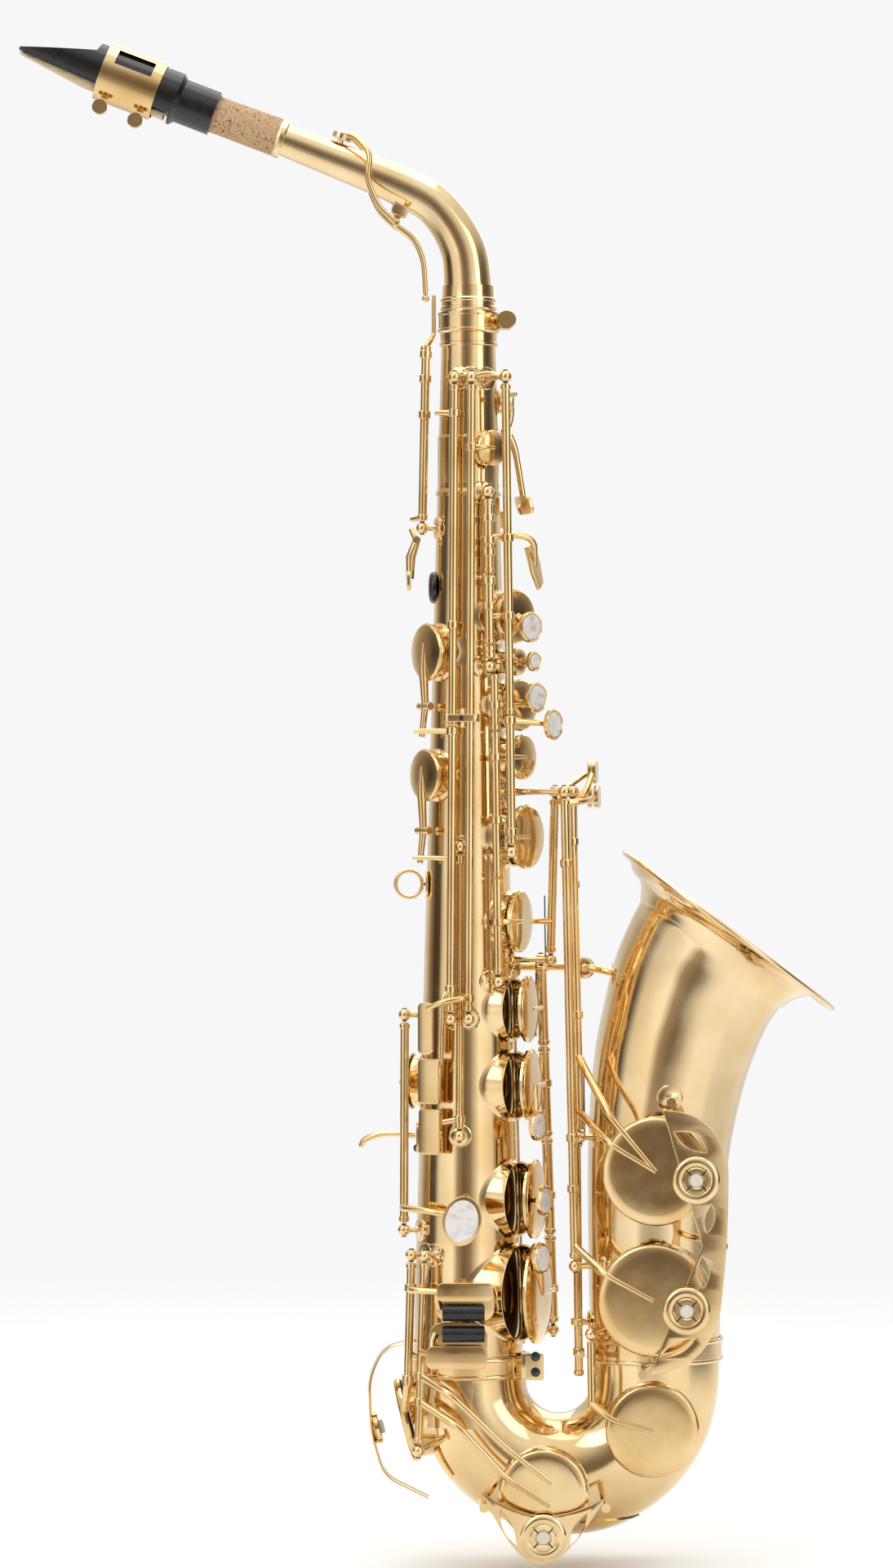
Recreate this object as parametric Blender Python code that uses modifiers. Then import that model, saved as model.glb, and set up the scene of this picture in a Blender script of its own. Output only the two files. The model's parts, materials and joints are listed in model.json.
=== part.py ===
"""Alto saxophone in metres, +Z up the body tube, +X towards the bell, -Y the player's right side.

The origin is the centre of the strap ring at the back of the body tube. Design values below are in
millimetres and are scaled to metres where a shape is made. Keys are modelled closed on their tone
holes and then turned to the angle at which their springs hold them.
"""
import bmesh
import bpy
from math import cos, pi, radians, sin, sqrt
from mathutils import Matrix, Quaternion, Vector

MM = 0.001
OBJECT_NAME = "saxophone"

# Tubes
BODY_X = 27.7
BODY_TOP_Z, BODY_BOTTOM_Z = 266.0, -223.0
BODY_TOP_R, BODY_BOTTOM_R = 13.1, 25.6
TAPER_TOP_Z, TAPER_BOTTOM_Z = 237.0, -217.6
WALL = 1.0
GAP = 0.3
BOW_CENTRE_X, BOW_CENTRE_Z, BOW_BEND_R = 71.4, -230.9, 42.9
BOW_START_R, BOW_END_R = 25.9, 30.0
BELL_BOTTOM_Z = -215.4
# Bell centreline: x, z, radius
BELL_SECTIONS = [
    (114.4, BELL_BOTTOM_Z, 30.2), (114.6, -173.9, 31.0), (115.5, -135.9, 32.3), (117.6, -109.3, 33.8),
    (121.9, -82.7, 35.8), (127.0, -63.7, 37.2), (132.2, -48.5, 38.9), (137.8, -37.3, 40.1),
    (142.3, -30.7, 42.2), (146.2, -25.1, 47.1), (147.7, -22.9, 54.0), (148.6, -21.7, 60.5)]
# Neck centreline: x, z, radius
NECK_SECTIONS = [
    (-67.3, 349.6, 7.0), (-53.6, 344.5, 7.6), (-18.2, 330.8, 8.7), (1.9, 322.1, 9.3), (11.4, 316.4, 9.5),
    (18.6, 308.0, 9.7), (23.9, 298.5, 10.3), (26.6, 289.0, 10.8), (27.7, 272.0, 11.3), (27.7, 246.0, 11.3)]
NECK_RING_Z, NECK_RING_R = (266.4, 272.6), 13.1
CORK_TIP, CORK_HEEL = (-99.5, 361.6), (-60.5, 347.2)

# Mouthpiece, along its own axis from the shank end to the tip
SHANK_END, MOUTHPIECE_WAY = (-90.1, 358.4), (-0.934, 0.357)
MOUTHPIECE_LENGTH, SHANK_LENGTH, SHANK_R, MOUTHPIECE_R, MOUTHPIECE_BORE_R = 95.3, 17.0, 10.5, 12.6, 9.3
TABLE_HEEL_V, TABLE_TIP_V, BEAK_TIP_V, BEAK_ROOT = -8.6, -5.2, -3.8, (61.0, 7.2)
LIGATURE_SPAN, LIGATURE_R = (28.0, 56.0), 13.8
LIGATURE_SCREWS = {"front": 50.5, "rear": 33.0}

# Key work
ROD_R, POST_BALL_R, POST_STEM_R, ARM_R = 2.0, 2.9, 1.3, 1.3
CHIMNEY_H, CUP_H, CHIMNEY_WALL, CUP_OVERHANG = 3.5, 4.2, 1.0, 1.4
ROUND, FINE, CHIMNEY_SIDES, BORE_SIDES = 8, 12, 10, 24
# Sides of a swept tube are twice this number plus four
BODY_ROUND, BOW_ROUND, BELL_ROUND, NECK_ROUND = 5, 4, 9, 3

# Hinge lines: x, y, z at the upper and the lower end of each line
LINES = {
    "side_e": ((29.0, -19.6, 231.0), (27.7, -27.3, -58.0)),
    "side_c": ((21.2, -18.4, 231.0), (19.4, -26.3, -58.0)),
    "side_bb": ((23.9, -21.3, 14.0), (23.4, -24.6, -112.0)),
    "outer": ((44.8, -22.4, 231.0), (47.5, -26.8, 16.0)),
    "upper_stack": ((36.6, -20.0, 178.0), (37.4, -22.7, 104.0)),
    "middle_stack": ((39.6, -21.9, 97.6), (41.4, -25.2, -41.0)),
    "lower_stack": ((61.2, 6.0, -23.0), (67.3, 12.0, -205.0)),
    "low_bb": ((71.8, -24.0, 46.0), (76.7, -24.0, -172.0)),
    "low_b": ((75.3, -14.5, 46.0), (79.2, -14.5, -113.0)),
    "low_c_sharp": ((76.2, -5.0, 46.0), (79.0, -5.0, -228.0)),
    "g_sharp": ((68.0, -4.0, 46.0), (66.0, -4.0, -32.0)),
    "high_f_sharp": ((-1.9, -9.2, -64.0), (-2.2, -11.5, -156.4)),
    "low_c": ((7.4, -24.0, -174.6), (4.6, -26.0, -257.0)),
    "eb": ((1.2, -19.5, -174.6), (-0.4, -21.0, -231.0)),
    "octave": ((8.0, -6.0, 253.0), (6.3, -6.5, 169.0)),
}

# Tone holes of the stack: height, bearing about the body in degrees (0 faces the bell), cup radius
STACK_HOLES = {
    "key_b": (124.0, -30.0, 12.5), "key_bis": (103.0, -28.0, 6.5), "key_a": (83.0, -25.0, 12.0),
    "key_c_aux": (59.0, -20.0, 10.6), "key_g": (22.0, -20.0, 15.0), "key_g_sharp": (-17.0, -22.0, 14.5),
    "key_f_sharp": (-57.6, -27.0, 15.4), "key_f": (-93.0, -27.0, 17.0), "key_e": (-145.4, -27.0, 18.4),
    "key_d": (-189.0, -27.0, 23.6)}
SIDE_HOLES = {"side_e_key": (202.0, -56.0, 8.2), "side_c_cup": (107.7, -149.3, 13.4),
              "side_bb_cup": (50.7, -147.0, 12.2), "high_f_sharp_key": (-92.0, 165.0, 13.2),
              "palm_d_key": (212.0, 70.0, 8.0), "palm_eb_key": (184.0, 96.0, 8.2),
              "palm_f_key": (225.0, 20.0, 7.0)}
C_SHARP_HINGE = Vector((84.0, -30.0, -210.0)), Vector((84.4, -32.0, -240.0))
# Cups on the bell and bow that face the player's right: x, z, cup radius, height of the chimney top
LOW_HOLES = {
    "low_b_key": (116.7, -130.5, 25.0, 36.5), "low_bb_key": (114.4, -189.8, 26.0, 35.0),
    "c_sharp_cup": (112.1, -250.2, 21.6, 33.5), "low_c_key": (62.7, -279.1, 20.8, 32.0)}
EB_HOLE = (14.3, 20.0)          # bearing below the bow's centre in degrees, cup radius

GOLD = (0.83, 0.60, 0.30)
COLOURS = {
    "lacquered_brass": (GOLD, 0.16, 1.0), "neck_brass": (GOLD, 0.15, 1.0), "bell_brass": (GOLD, 0.13, 1.0),
    "key_brass": ((0.80, 0.57, 0.28), 0.18, 1.0), "hard_rubber": ((0.012, 0.012, 0.013), 0.16, 0.0),
    "cane": ((0.80, 0.66, 0.40), 0.55, 0.0), "cork": ((0.55, 0.36, 0.20), 0.85, 0.0),
    "black_roller": ((0.02, 0.02, 0.02), 0.25, 0.0), "felt": ((0.86, 0.82, 0.74), 0.95, 0.0)}


# ---------------------------------------------------------------- scene and collections

def clear_scene():
    for item in list(bpy.data.objects):
        bpy.data.objects.remove(item, do_unlink=True)


def new_collection(name):
    made = bpy.data.collections.new(name)
    bpy.context.scene.collection.children.link(made)
    return made


def make_material(name):
    colour, roughness, metallic = COLOURS[name]
    material = bpy.data.materials.new(name)
    material.use_nodes = True
    shader = material.node_tree.nodes["Principled BSDF"]
    shader.inputs["Base Color"].default_value = (*colour, 1.0)
    shader.inputs["Roughness"].default_value = roughness
    shader.inputs["Metallic"].default_value = metallic
    return material


# ---------------------------------------------------------------- places on the body

def body_radius(z):
    fall = (TAPER_TOP_Z - z) / (TAPER_TOP_Z - TAPER_BOTTOM_Z)
    return BODY_TOP_R + max(0.0, fall) * (BODY_BOTTOM_R - BODY_TOP_R)


def bearing(angle):
    return Vector((cos(radians(angle)), sin(radians(angle)), 0.0))


def around(angle, z, radius):
    """A point at a bearing and a distance from the body's axis."""
    return Vector((BODY_X, 0.0, z)) + bearing(angle) * radius


def on_line(name, z):
    top, bottom = (Vector(end) for end in LINES[name])
    return top.lerp(bottom, (top.z - z) / (top.z - bottom.z))


def line_axis(name):
    top, bottom = (Vector(end) for end in LINES[name])
    return (top - bottom).normalized()


# ---------------------------------------------------------------- simple shapes, in millimetres

def work_object(name, mesh):
    made = bpy.data.objects.new(name, mesh)
    WORK.objects.link(made)
    made.display_type = "WIRE"
    made.hide_render = True
    return made


def mesh_from(bm, matrix):
    bmesh.ops.transform(bm, matrix=Matrix.Scale(MM, 4) @ matrix, verts=bm.verts)
    mesh = bpy.data.meshes.new("shape")
    bm.to_mesh(mesh)
    bm.free()
    return work_object("shape", mesh)


def facing(centre, direction):
    """A matrix that puts local Z along a direction, at a centre."""
    turn = Vector(direction).normalized().to_track_quat("Z", "Y")
    return Matrix.Translation(Vector(centre)) @ turn.to_matrix().to_4x4()


def cylinder(start, end, radius, end_radius=None, sides=ROUND):
    start, end = Vector(start), Vector(end)
    bm = bmesh.new()
    bmesh.ops.create_cone(bm, cap_ends=True, segments=sides, radius1=radius,
                          radius2=radius if end_radius is None else end_radius, depth=(end - start).length)
    return mesh_from(bm, facing((start + end) / 2, end - start))


def ball(centre, radius, sides=6):
    bm = bmesh.new()
    bmesh.ops.create_uvsphere(bm, u_segments=sides, v_segments=sides // 2 + 1, radius=radius)
    return mesh_from(bm, Matrix.Translation(Vector(centre)))


def block(centre, size, direction=(0, 0, 1), spin=0.0):
    """A box whose local Z points along a direction."""
    bm = bmesh.new()
    bmesh.ops.create_cube(bm, size=1.0)
    shape = Matrix.Diagonal((*size, 1.0))
    return mesh_from(bm, facing(centre, direction) @ Matrix.Rotation(radians(spin), 4, "Z") @ shape)


def evaluated_copy(source):
    """The finished mesh of an object with modifiers or of a curve."""
    bpy.context.view_layer.update()
    graph = bpy.context.evaluated_depsgraph_get()
    mesh = bpy.data.meshes.new_from_object(source.evaluated_get(graph), depsgraph=graph)
    mesh.transform(source.matrix_world)
    return mesh


def turned(profile, base=(0, 0, 0), direction=(0, 0, 1), sides=FINE):
    """A profile of (radius, height) pairs, outer side from top to bottom, turned about an axis."""
    mesh = bpy.data.meshes.new("profile")
    edges = [(i, i + 1) for i in range(len(profile) - 1)]
    if profile[0][0] > 0:
        edges.append((len(profile) - 1, 0))
    mesh.from_pydata([(r * MM, 0.0, h * MM) for r, h in profile], edges, [])
    lathe = work_object("lathe", mesh)
    screw = lathe.modifiers.new("turn", "SCREW")
    screw.steps = screw.render_steps = sides
    screw.use_merge_vertices = True
    screw.merge_threshold = 0.000001
    solid_mesh = evaluated_copy(lathe)
    bpy.data.objects.remove(lathe, do_unlink=True)
    place = facing(base, direction)
    place.translation = Vector(base) * MM
    solid_mesh.transform(place)
    return work_object("turned", solid_mesh)


def swept(points, radii, sides_quarter=2, capped=True):
    """A round bar through points; radii is one number, or one for each point."""
    curve = bpy.data.curves.new("path", "CURVE")
    curve.dimensions = "3D"
    curve.bevel_depth = MM
    curve.bevel_resolution = sides_quarter
    curve.use_fill_caps = capped
    spline = curve.splines.new("POLY")
    spline.points.add(len(points) - 1)
    for i, (control, point) in enumerate(zip(spline.points, points)):
        control.co = (*(Vector(point) * MM), 1.0)
        control.radius = radii if isinstance(radii, (int, float)) else radii[i]
    path = work_object("path", curve)
    mesh = evaluated_copy(path)
    bpy.data.objects.remove(path, do_unlink=True)
    bm = bmesh.new()
    bm.from_mesh(mesh)
    bmesh.ops.remove_doubles(bm, verts=bm.verts, dist=0.000001)
    bmesh.ops.recalc_face_normals(bm, faces=bm.faces)
    bm.to_mesh(mesh)
    bm.free()
    return work_object("bar", mesh)


def thickened(tube, thickness):
    """Turns an open tube into a shell that grows inwards."""
    shell = tube.modifiers.new("wall", "SOLIDIFY")
    shell.thickness = thickness * MM
    shell.offset = -1.0
    mesh = evaluated_copy(tube)
    bpy.data.objects.remove(tube, do_unlink=True)
    return work_object("shell", mesh)


def flat_plate(outline, thickness, centre, direction, spin=0.0):
    """A filled outline of (x, y) pairs, with a thickness along local Z."""
    curve = bpy.data.curves.new("outline", "CURVE")
    curve.dimensions = "2D"
    curve.fill_mode = "BOTH"
    curve.extrude = thickness / 2 * MM
    spline = curve.splines.new("POLY")
    spline.points.add(len(outline) - 1)
    for control, (x, y) in zip(spline.points, outline):
        control.co = (x * MM, y * MM, 0.0, 1.0)
    spline.use_cyclic_u = True
    flat = work_object("outline", curve)
    mesh = evaluated_copy(flat)
    bpy.data.objects.remove(flat, do_unlink=True)
    bm = bmesh.new()
    bm.from_mesh(mesh)
    bmesh.ops.remove_doubles(bm, verts=bm.verts, dist=0.000001)
    bmesh.ops.recalc_face_normals(bm, faces=bm.faces)
    bm.to_mesh(mesh)
    bm.free()
    place = facing(centre, direction)
    place.translation = Vector(centre) * MM
    mesh.transform(place @ Matrix.Rotation(radians(spin), 4, "Z"))
    return work_object("plate", mesh)


def band_outline(path, width):
    """The outline of a strip of constant width along a path of (x, y) pairs."""
    left, right = [], []
    for i, point in enumerate(path):
        before = Vector(path[max(i - 1, 0)])
        after = Vector(path[min(i + 1, len(path) - 1)])
        ahead = (after - before).normalized()
        side = Vector((-ahead.y, ahead.x)) * width / 2
        left.append(tuple(Vector(point) + side))
        right.append(tuple(Vector(point) - side))
    return left + right[::-1]


def arc(centre, radius, start, end, steps):
    """Points on an arc of a circle, from a start to an end angle in degrees."""
    angles = [radians(start + (end - start) * i / steps) for i in range(steps + 1)]
    return [(centre[0] + radius * cos(a), centre[1] + radius * sin(a)) for a in angles]


# ---------------------------------------------------------------- joining shapes into one solid

def boolean_with(base, shapes, operation):
    group = bpy.data.collections.new("operands")
    bpy.context.scene.collection.children.link(group)
    for shape in shapes:
        group.objects.link(shape)
    cut = base.modifiers.new(operation.lower(), "BOOLEAN")
    cut.operation = operation
    cut.operand_type = "COLLECTION"
    cut.collection = group
    cut.solver = "EXACT"
    base.data = evaluated_copy(base)
    base.modifiers.clear()
    for shape in shapes:
        bpy.data.objects.remove(shape, do_unlink=True)
    bpy.data.collections.remove(group)


def solid(name, material, shapes, cuts=(), origin=(0, 0, 0)):
    """One named sub-part: the union of shapes less the cuts, with its origin at a point."""
    base = shapes[0]
    if len(shapes) > 1:
        boolean_with(base, shapes[1:], "UNION")
    if cuts:
        boolean_with(base, list(cuts), "DIFFERENCE")
    mesh = base.data
    mesh.name = name
    mesh.transform(Matrix.Translation(Vector(origin) * -MM))
    made = bpy.data.objects.new(name, mesh)
    PARTS.objects.link(made)
    made.location = Vector(origin) * MM
    bpy.data.objects.remove(base, do_unlink=True)
    mesh.materials.clear()
    mesh.materials.append(MATERIALS[material])
    mesh.shade_smooth()
    mesh.set_sharp_from_angle(angle=radians(35))
    return made


def hinged(name, shapes, origin, axis, opened=0.0, material="key_brass", cuts=()):
    """A sub-part that turns about an axis through its origin, held open by an angle in degrees."""
    made = solid(name, material, shapes, cuts, origin)
    made.rotation_mode = "QUATERNION"
    made.rotation_quaternion = Quaternion(Vector(axis).normalized(), radians(opened))
    made["hinge_axis"] = tuple(Vector(axis).normalized())
    return made


def key_on_line(name, line, z_top, z_bottom, shapes, opened=0.0, rod_r=ROD_R):
    """A key whose hinge tube lies on a named line between two heights."""
    top, bottom = on_line(line, z_top), on_line(line, z_bottom)
    tube = cylinder(bottom, top, rod_r)
    return hinged(name, [tube, *shapes], top, line_axis(line), opened)


# ---------------------------------------------------------------- shapes that repeat on the key work

def cup(seat, direction, radius):
    """A domed pad cup whose flat side lies just above a tone hole's seat."""
    base = Vector(seat) + Vector(direction).normalized() * GAP
    profile = [(0.0, CUP_H), (radius * 0.8, CUP_H - 0.5), (radius, CUP_H - 1.7), (radius, 0.0), (0.0, 0.0)]
    return turned(profile, base, direction)


def pearl_holder(centre, direction, radius=7.2):
    base = Vector(centre) - Vector(direction).normalized() * 2.4
    return turned([(0.0, 2.4), (radius, 1.8), (radius, 0.0), (0.0, -0.6)], base, direction, 14)


def arm(points, radius=ARM_R):
    return swept(points, radius, 0)


def stack_cup(name):
    z, angle, radius = {**STACK_HOLES, **SIDE_HOLES}[name]
    return cup(around(angle, z, body_radius(z) + CHIMNEY_H), bearing(angle), radius)


def stack_arm(name, line, z_arm=None):
    """An arm from a hinge line, up over the cup's edge, to the middle of its back."""
    z, angle, radius = {**STACK_HOLES, **SIDE_HOLES}[name]
    start = on_line(line, z if z_arm is None else z_arm)
    top = body_radius(z) + CHIMNEY_H + GAP + CUP_H - 0.9
    middle = around(angle, z, top)
    edge = middle + (start - middle).normalized() * (radius - 0.6)
    edge -= bearing(angle) * (edge - middle).dot(bearing(angle))
    return arm([start, edge, middle])


def raised_pearl(name, centre, angle, radius=7.2):
    """A finger pearl's holder with a stalk down to the key's cup."""
    z, cup_angle, cup_r = STACK_HOLES[name]
    top = body_radius(z) + CHIMNEY_H + GAP + CUP_H - 1.0
    root = around(cup_angle, z, top)
    return [pearl_holder(centre, bearing(angle), radius),
            arm([root, Vector(centre) - bearing(angle) * 2.2], 1.6)]


def post(line, z, depth=0.8):
    """A ball post on the body tube that carries one end of a hinge line."""
    centre = on_line(line, z)
    outward = Vector((centre.x - BODY_X, centre.y, 0.0)).normalized()
    foot = Vector((BODY_X, 0.0, z)) + outward * (body_radius(z) - depth)
    return [cylinder(foot, centre, POST_STEM_R * 1.5, POST_STEM_R, 6), ball(centre, POST_BALL_R)]


# ---------------------------------------------------------------- the tubes

def bow_sections():
    count = 9
    sections = [(BOW_CENTRE_X - BOW_BEND_R, BODY_BOTTOM_Z - 0.4, BOW_START_R)]
    for i in range(count + 1):
        turn = pi * i / count
        radius = BOW_START_R + (BOW_END_R - BOW_START_R) * i / count
        sections.append((BOW_CENTRE_X - BOW_BEND_R * cos(turn), BOW_CENTRE_Z - BOW_BEND_R * sin(turn),
                         radius))
    sections.append((BOW_CENTRE_X + BOW_BEND_R, BELL_BOTTOM_Z - 0.4, BOW_END_R + 0.1))
    return sections


def tube_shell(sections, sides_quarter, wall=WALL):
    points = [(x, 0.0, z) for x, z, _ in sections]
    return thickened(swept(points, [r for _, _, r in sections], sides_quarter, capped=False), wall)


def tube_space(sections, sides_quarter, grow):
    """A solid the size of a tube's outside, larger or smaller by an amount."""
    points = [(x, 0.0, z) for x, z, _ in sections]
    return swept(points, [r + grow for _, _, r in sections], sides_quarter)


def body_sections():
    return [(BODY_X, BODY_TOP_Z, BODY_TOP_R - 0.4), (BODY_X, TAPER_TOP_Z, BODY_TOP_R - 0.1),
            (BODY_X, TAPER_BOTTOM_Z, BODY_BOTTOM_R), (BODY_X, BODY_BOTTOM_Z, BODY_BOTTOM_R + 0.1)]


def tube_chimney(centre_angle, z, cup_radius):
    """A tone hole on the body: its wall and its bore."""
    way = bearing(centre_angle)
    radius = cup_radius - CUP_OVERHANG
    seat = around(centre_angle, z, body_radius(z) + CHIMNEY_H)
    inner = around(centre_angle, z, max(2.0, sqrt(max(0.0, body_radius(z) ** 2 - radius ** 2)) - 2.0))
    wall = cylinder(inner, seat, radius, sides=CHIMNEY_SIDES)
    bore = cylinder(inner - way, seat + way * 3.0, radius - CHIMNEY_WALL, sides=CHIMNEY_SIDES)
    return wall, bore


BODY_POSTS = [("side_e", 234.6), ("side_e", -61.6), ("side_c", 234.6), ("side_c", -61.6),
              ("side_bb", -115.6), ("side_bb", 17.6), ("outer", 234.6), ("outer", 15.2),
              ("upper_stack", 181.6), ("upper_stack", 100.8), ("middle_stack", -44.6),
              ("lower_stack", -35.2), ("lower_stack", -208.6), ("low_bb", 43.0), ("low_b", 43.0),
              ("low_c_sharp", 43.0), ("g_sharp", 43.0), ("g_sharp", -35.2), ("high_f_sharp", -60.4),
              ("high_f_sharp", -160.0), ("low_c", -171.0), ("eb", -171.0), ("octave", 165.4)]


def make_body_tube():
    shapes = [tube_shell(body_sections(), BODY_ROUND)]
    cuts = []
    for z, angle, radius in [*STACK_HOLES.values(), *SIDE_HOLES.values()]:
        wall, bore = tube_chimney(angle, z, radius)
        shapes.append(wall)
        cuts.append(bore)
    for line, z in BODY_POSTS:
        shapes.extend(post(line, z))
    # Collar round the receiver, with the clamp's two lugs
    shapes.append(turned([(14.4, 265.6), (14.4, 257.0), (13.0, 256.0), (12.4, 256.0), (12.4, 265.6)],
                         (BODY_X, 0, 0), sides=FINE))
    for side in (-1, 1):
        shapes.append(block((BODY_X + 16.4, 2.3 * side, 261.5), (6.5, 2.6, 7.0)))
    solid("body_tube", "lacquered_brass", shapes, cuts)


def right_chimney(name, depth):
    """A tone hole that faces the player's right, on the bell or the bow."""
    x, z, cup_radius, height = LOW_HOLES[name]
    radius = cup_radius - CUP_OVERHANG
    wall = cylinder((x, -depth, z), (x, -height, z), radius, sides=14)
    bore = cylinder((x, -depth + 6.0, z), (x, -height - 3.0, z), radius - CHIMNEY_WALL, sides=14)
    return wall, bore


def make_bow():
    shapes = [tube_shell(bow_sections(), BOW_ROUND)]
    cuts = [tube_space(bow_sections()[1:-1], BOW_ROUND, -WALL - 0.1)]
    for name in ("low_c_key", "c_sharp_cup"):
        wall, bore = right_chimney(name, 14.0)
        shapes.append(wall)
        cuts.append(bore)
    seat, way, radius = eb_seat()
    inner = seat - way * 14.0
    shapes.append(cylinder(inner, seat, radius - CUP_OVERHANG, sides=14))
    cuts.append(cylinder(inner - way, seat + way * 3, radius - CUP_OVERHANG - CHIMNEY_WALL, sides=14))
    # Post at the foot of the low C hinge line
    foot = on_line("low_c", -260.6)
    shapes.append(cylinder((17.0, -13.0, -256.0), foot, POST_STEM_R * 1.5, POST_STEM_R, 6))
    shapes.append(ball(foot, POST_BALL_R))
    solid("bow", "lacquered_brass", shapes, cuts)


def eb_seat():
    """The low E flat tone hole at the back of the bow: its seat, its direction and its cup radius."""
    below, radius = EB_HOLE
    way = Vector((-cos(radians(below)), 0.0, -sin(radians(below))))
    surface = Vector((BOW_CENTRE_X, 0.0, BOW_CENTRE_Z)) + way * (BOW_BEND_R + BOW_START_R)
    return surface + way * CHIMNEY_H, way, radius


def make_bell():
    shapes = [tube_shell(BELL_SECTIONS, BELL_ROUND)]
    cuts = [tube_space(BELL_SECTIONS[:6], BELL_ROUND, -WALL - 0.1)]
    for name in ("low_b_key", "low_bb_key"):
        wall, bore = right_chimney(name, 16.0)
        shapes.append(wall)
        cuts.append(bore)
    # Rolled rim
    last, before = Vector(BELL_SECTIONS[-1]), Vector(BELL_SECTIONS[-2])
    axis = Vector((last.x - before.x, 0.0, last.y - before.y)).normalized()
    shapes.append(turned([(61.4, 1.0), (61.4, -0.9), (58.6, -0.9), (58.6, 1.0)],
                         (last.x, 0.0, last.y), axis, 2 * BELL_ROUND + 4))
    # Posts at the foot of the bell's hinge lines
    for line, z in (("low_bb", -175.6), ("low_b", -116.6), ("low_c_sharp", -203.0)):
        centre = on_line(line, z)
        toward = (Vector((114.6, 0.0, z)) - centre).normalized()
        surface = centre + toward * ((Vector((114.6, 0.0, z)) - centre).length - 29.9)
        if line == "low_c_sharp":
            shapes.append(cylinder(surface, centre + toward * 2.9, POST_STEM_R * 1.5, POST_STEM_R, 6))
            shapes.append(turned([(3.4, 1.5), (3.4, -1.5), (2.4, -1.5), (2.4, 1.5)], centre,
                                 line_axis(line), 12))
        else:
            shapes.append(cylinder(surface, centre, POST_STEM_R * 1.5, POST_STEM_R, 6))
            shapes.append(ball(centre, POST_BALL_R))
    # Post at the top of the low C sharp cup's hinge
    top = C_SHARP_HINGE[0] + Vector((0.0, 0.0, 3.6))
    shapes.append(cylinder((89.8, -15.8, top.z), top, POST_STEM_R * 1.5, POST_STEM_R, 6))
    shapes.append(ball(top, POST_BALL_R))
    solid("bell", "bell_brass", shapes, cuts)


def make_bands():
    centre = (BODY_X + 0.4, 0, 0)
    profile = [(28.0, -218.0), (28.0, -228.2), (26.8, -228.2), (26.8, -218.0)]
    lug = block((BODY_X + 26.4, -9.6, -223.0), (4.4, 9.0, 12.0))
    spaces = [cylinder((BODY_X + 0.4, 0, -212.0), (BODY_X + 0.4, 0, -234.0), 26.95, sides=BORE_SIDES)]
    solid("body_bow_clamp", "lacquered_brass", [turned(profile, centre, sides=BORE_SIDES), lug], spaces)
    profile = [(31.9, -210.0), (31.9, -221.2), (30.6, -221.2), (30.6, -210.0)]
    x, z, cup_radius, height = LOW_HOLES["low_bb_key"]
    chimney_space = cylinder((x, -18.0, z), (x, -height - 2.0, z), cup_radius - CUP_OVERHANG + GAP, sides=28)
    solid("bell_bow_ring", "lacquered_brass", [turned(profile, (114.4, 0, 0), sides=BORE_SIDES)],
          [chimney_space])


def make_bell_brace():
    path = [(44.0, 12.0, -39.0), (58.0, 19.0, -39.0), (72.0, 17.0, -39.0), (84.0, 11.0, -39.3),
            (98.0, 5.0, -42.0)]
    boss = turned([(0.0, 1.4), (5.0, 1.4), (5.0, -1.4), (0.0, -1.4)], (82.0, 12.0, -39.3), (0, 1, 0), 14)
    spaces = [tube_space(body_sections(), BODY_ROUND, GAP), tube_space(BELL_SECTIONS[:9], BELL_ROUND, GAP)]
    solid("bell_brace", "lacquered_brass", [swept(path, 2.2, 1), boss], spaces)


# ---------------------------------------------------------------- guards and fixed fittings

GUARD_FACE_Y = -53.0
BUMPER_H = 2.0


def guard_feet(places, face_y):
    """Legs from a guard's plate down towards the tube behind it."""
    return [cylinder((x, y, z), (x, face_y, z), 1.8, sides=ROUND) for x, y, z in places]


def make_low_b_guard():
    rail = [(114.0, -101.0), (126.0, -104.0), (138.0, -114.0), (145.0, -130.0), (146.5, -150.0),
            (145.0, -178.0), (141.0, -197.0), (131.0, -212.0), (118.0, -221.0), (106.0, -225.0)]
    shapes = [flat_plate(band_outline([(x, z) for x, z in rail], 7.0), 1.6, (0, GUARD_FACE_Y, 0), (0, -1, 0))]
    for x, z in ((131.3, -134.0), (126.9, -193.6)):
        shapes.append(turned([(0.0, 1.3), (10.5, 1.3), (10.5, -1.3), (0.0, -1.3)], (x, GUARD_FACE_Y, z),
                             (0, -1, 0)))
    shapes.append(block((140.5, GUARD_FACE_Y, -136.0), (12.0, 6.0, 1.5), (0, -1, 0)))
    shapes.append(block((136.5, GUARD_FACE_Y, -195.0), (10.0, 6.0, 1.5), (0, -1, 0)))
    shapes += guard_feet([(120.0, -32.0, -98.6), (143.6, -8.0, -164.0), (107.0, -24.0, -225.5)], GUARD_FACE_Y)
    spaces = [tube_space(BELL_SECTIONS, BELL_ROUND, GAP), tube_space(bow_sections(), BOW_ROUND, GAP),
              bumper_space("low_b"),
              bumper_space("low_bb"), cylinder((114.4, 0, -209.0), (114.4, 0, -222.0), 32.3,
                                               sides=BORE_SIDES)]
    solid("low_b_guard", "lacquered_brass", shapes, spaces)


LOW_C_GUARD_Y = -47.0


def make_low_c_guard():
    x, z, radius, _ = LOW_HOLES["low_c_key"]
    rail = arc((x, z), 28.0, 186, 354, 12)
    shapes = [flat_plate(band_outline(rail, 8.0), 1.6, (0, LOW_C_GUARD_Y, 0), (0, -1, 0))]
    boss = bumper_place("low_c")[0]
    shapes.append(turned([(0.0, 1.4), (8.6, 1.4), (8.6, -1.3), (0.0, -1.3)], boss, (0, -1, 0), 14))
    shapes += guard_feet([(34.6, -18.0, z - 5.0), (90.4, -24.0, z - 5.0)], LOW_C_GUARD_Y + 0.3)
    solid("low_c_guard", "lacquered_brass", shapes, [tube_space(bow_sections(), BOW_ROUND, GAP),
                                                     bumper_space("low_c")])


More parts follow.
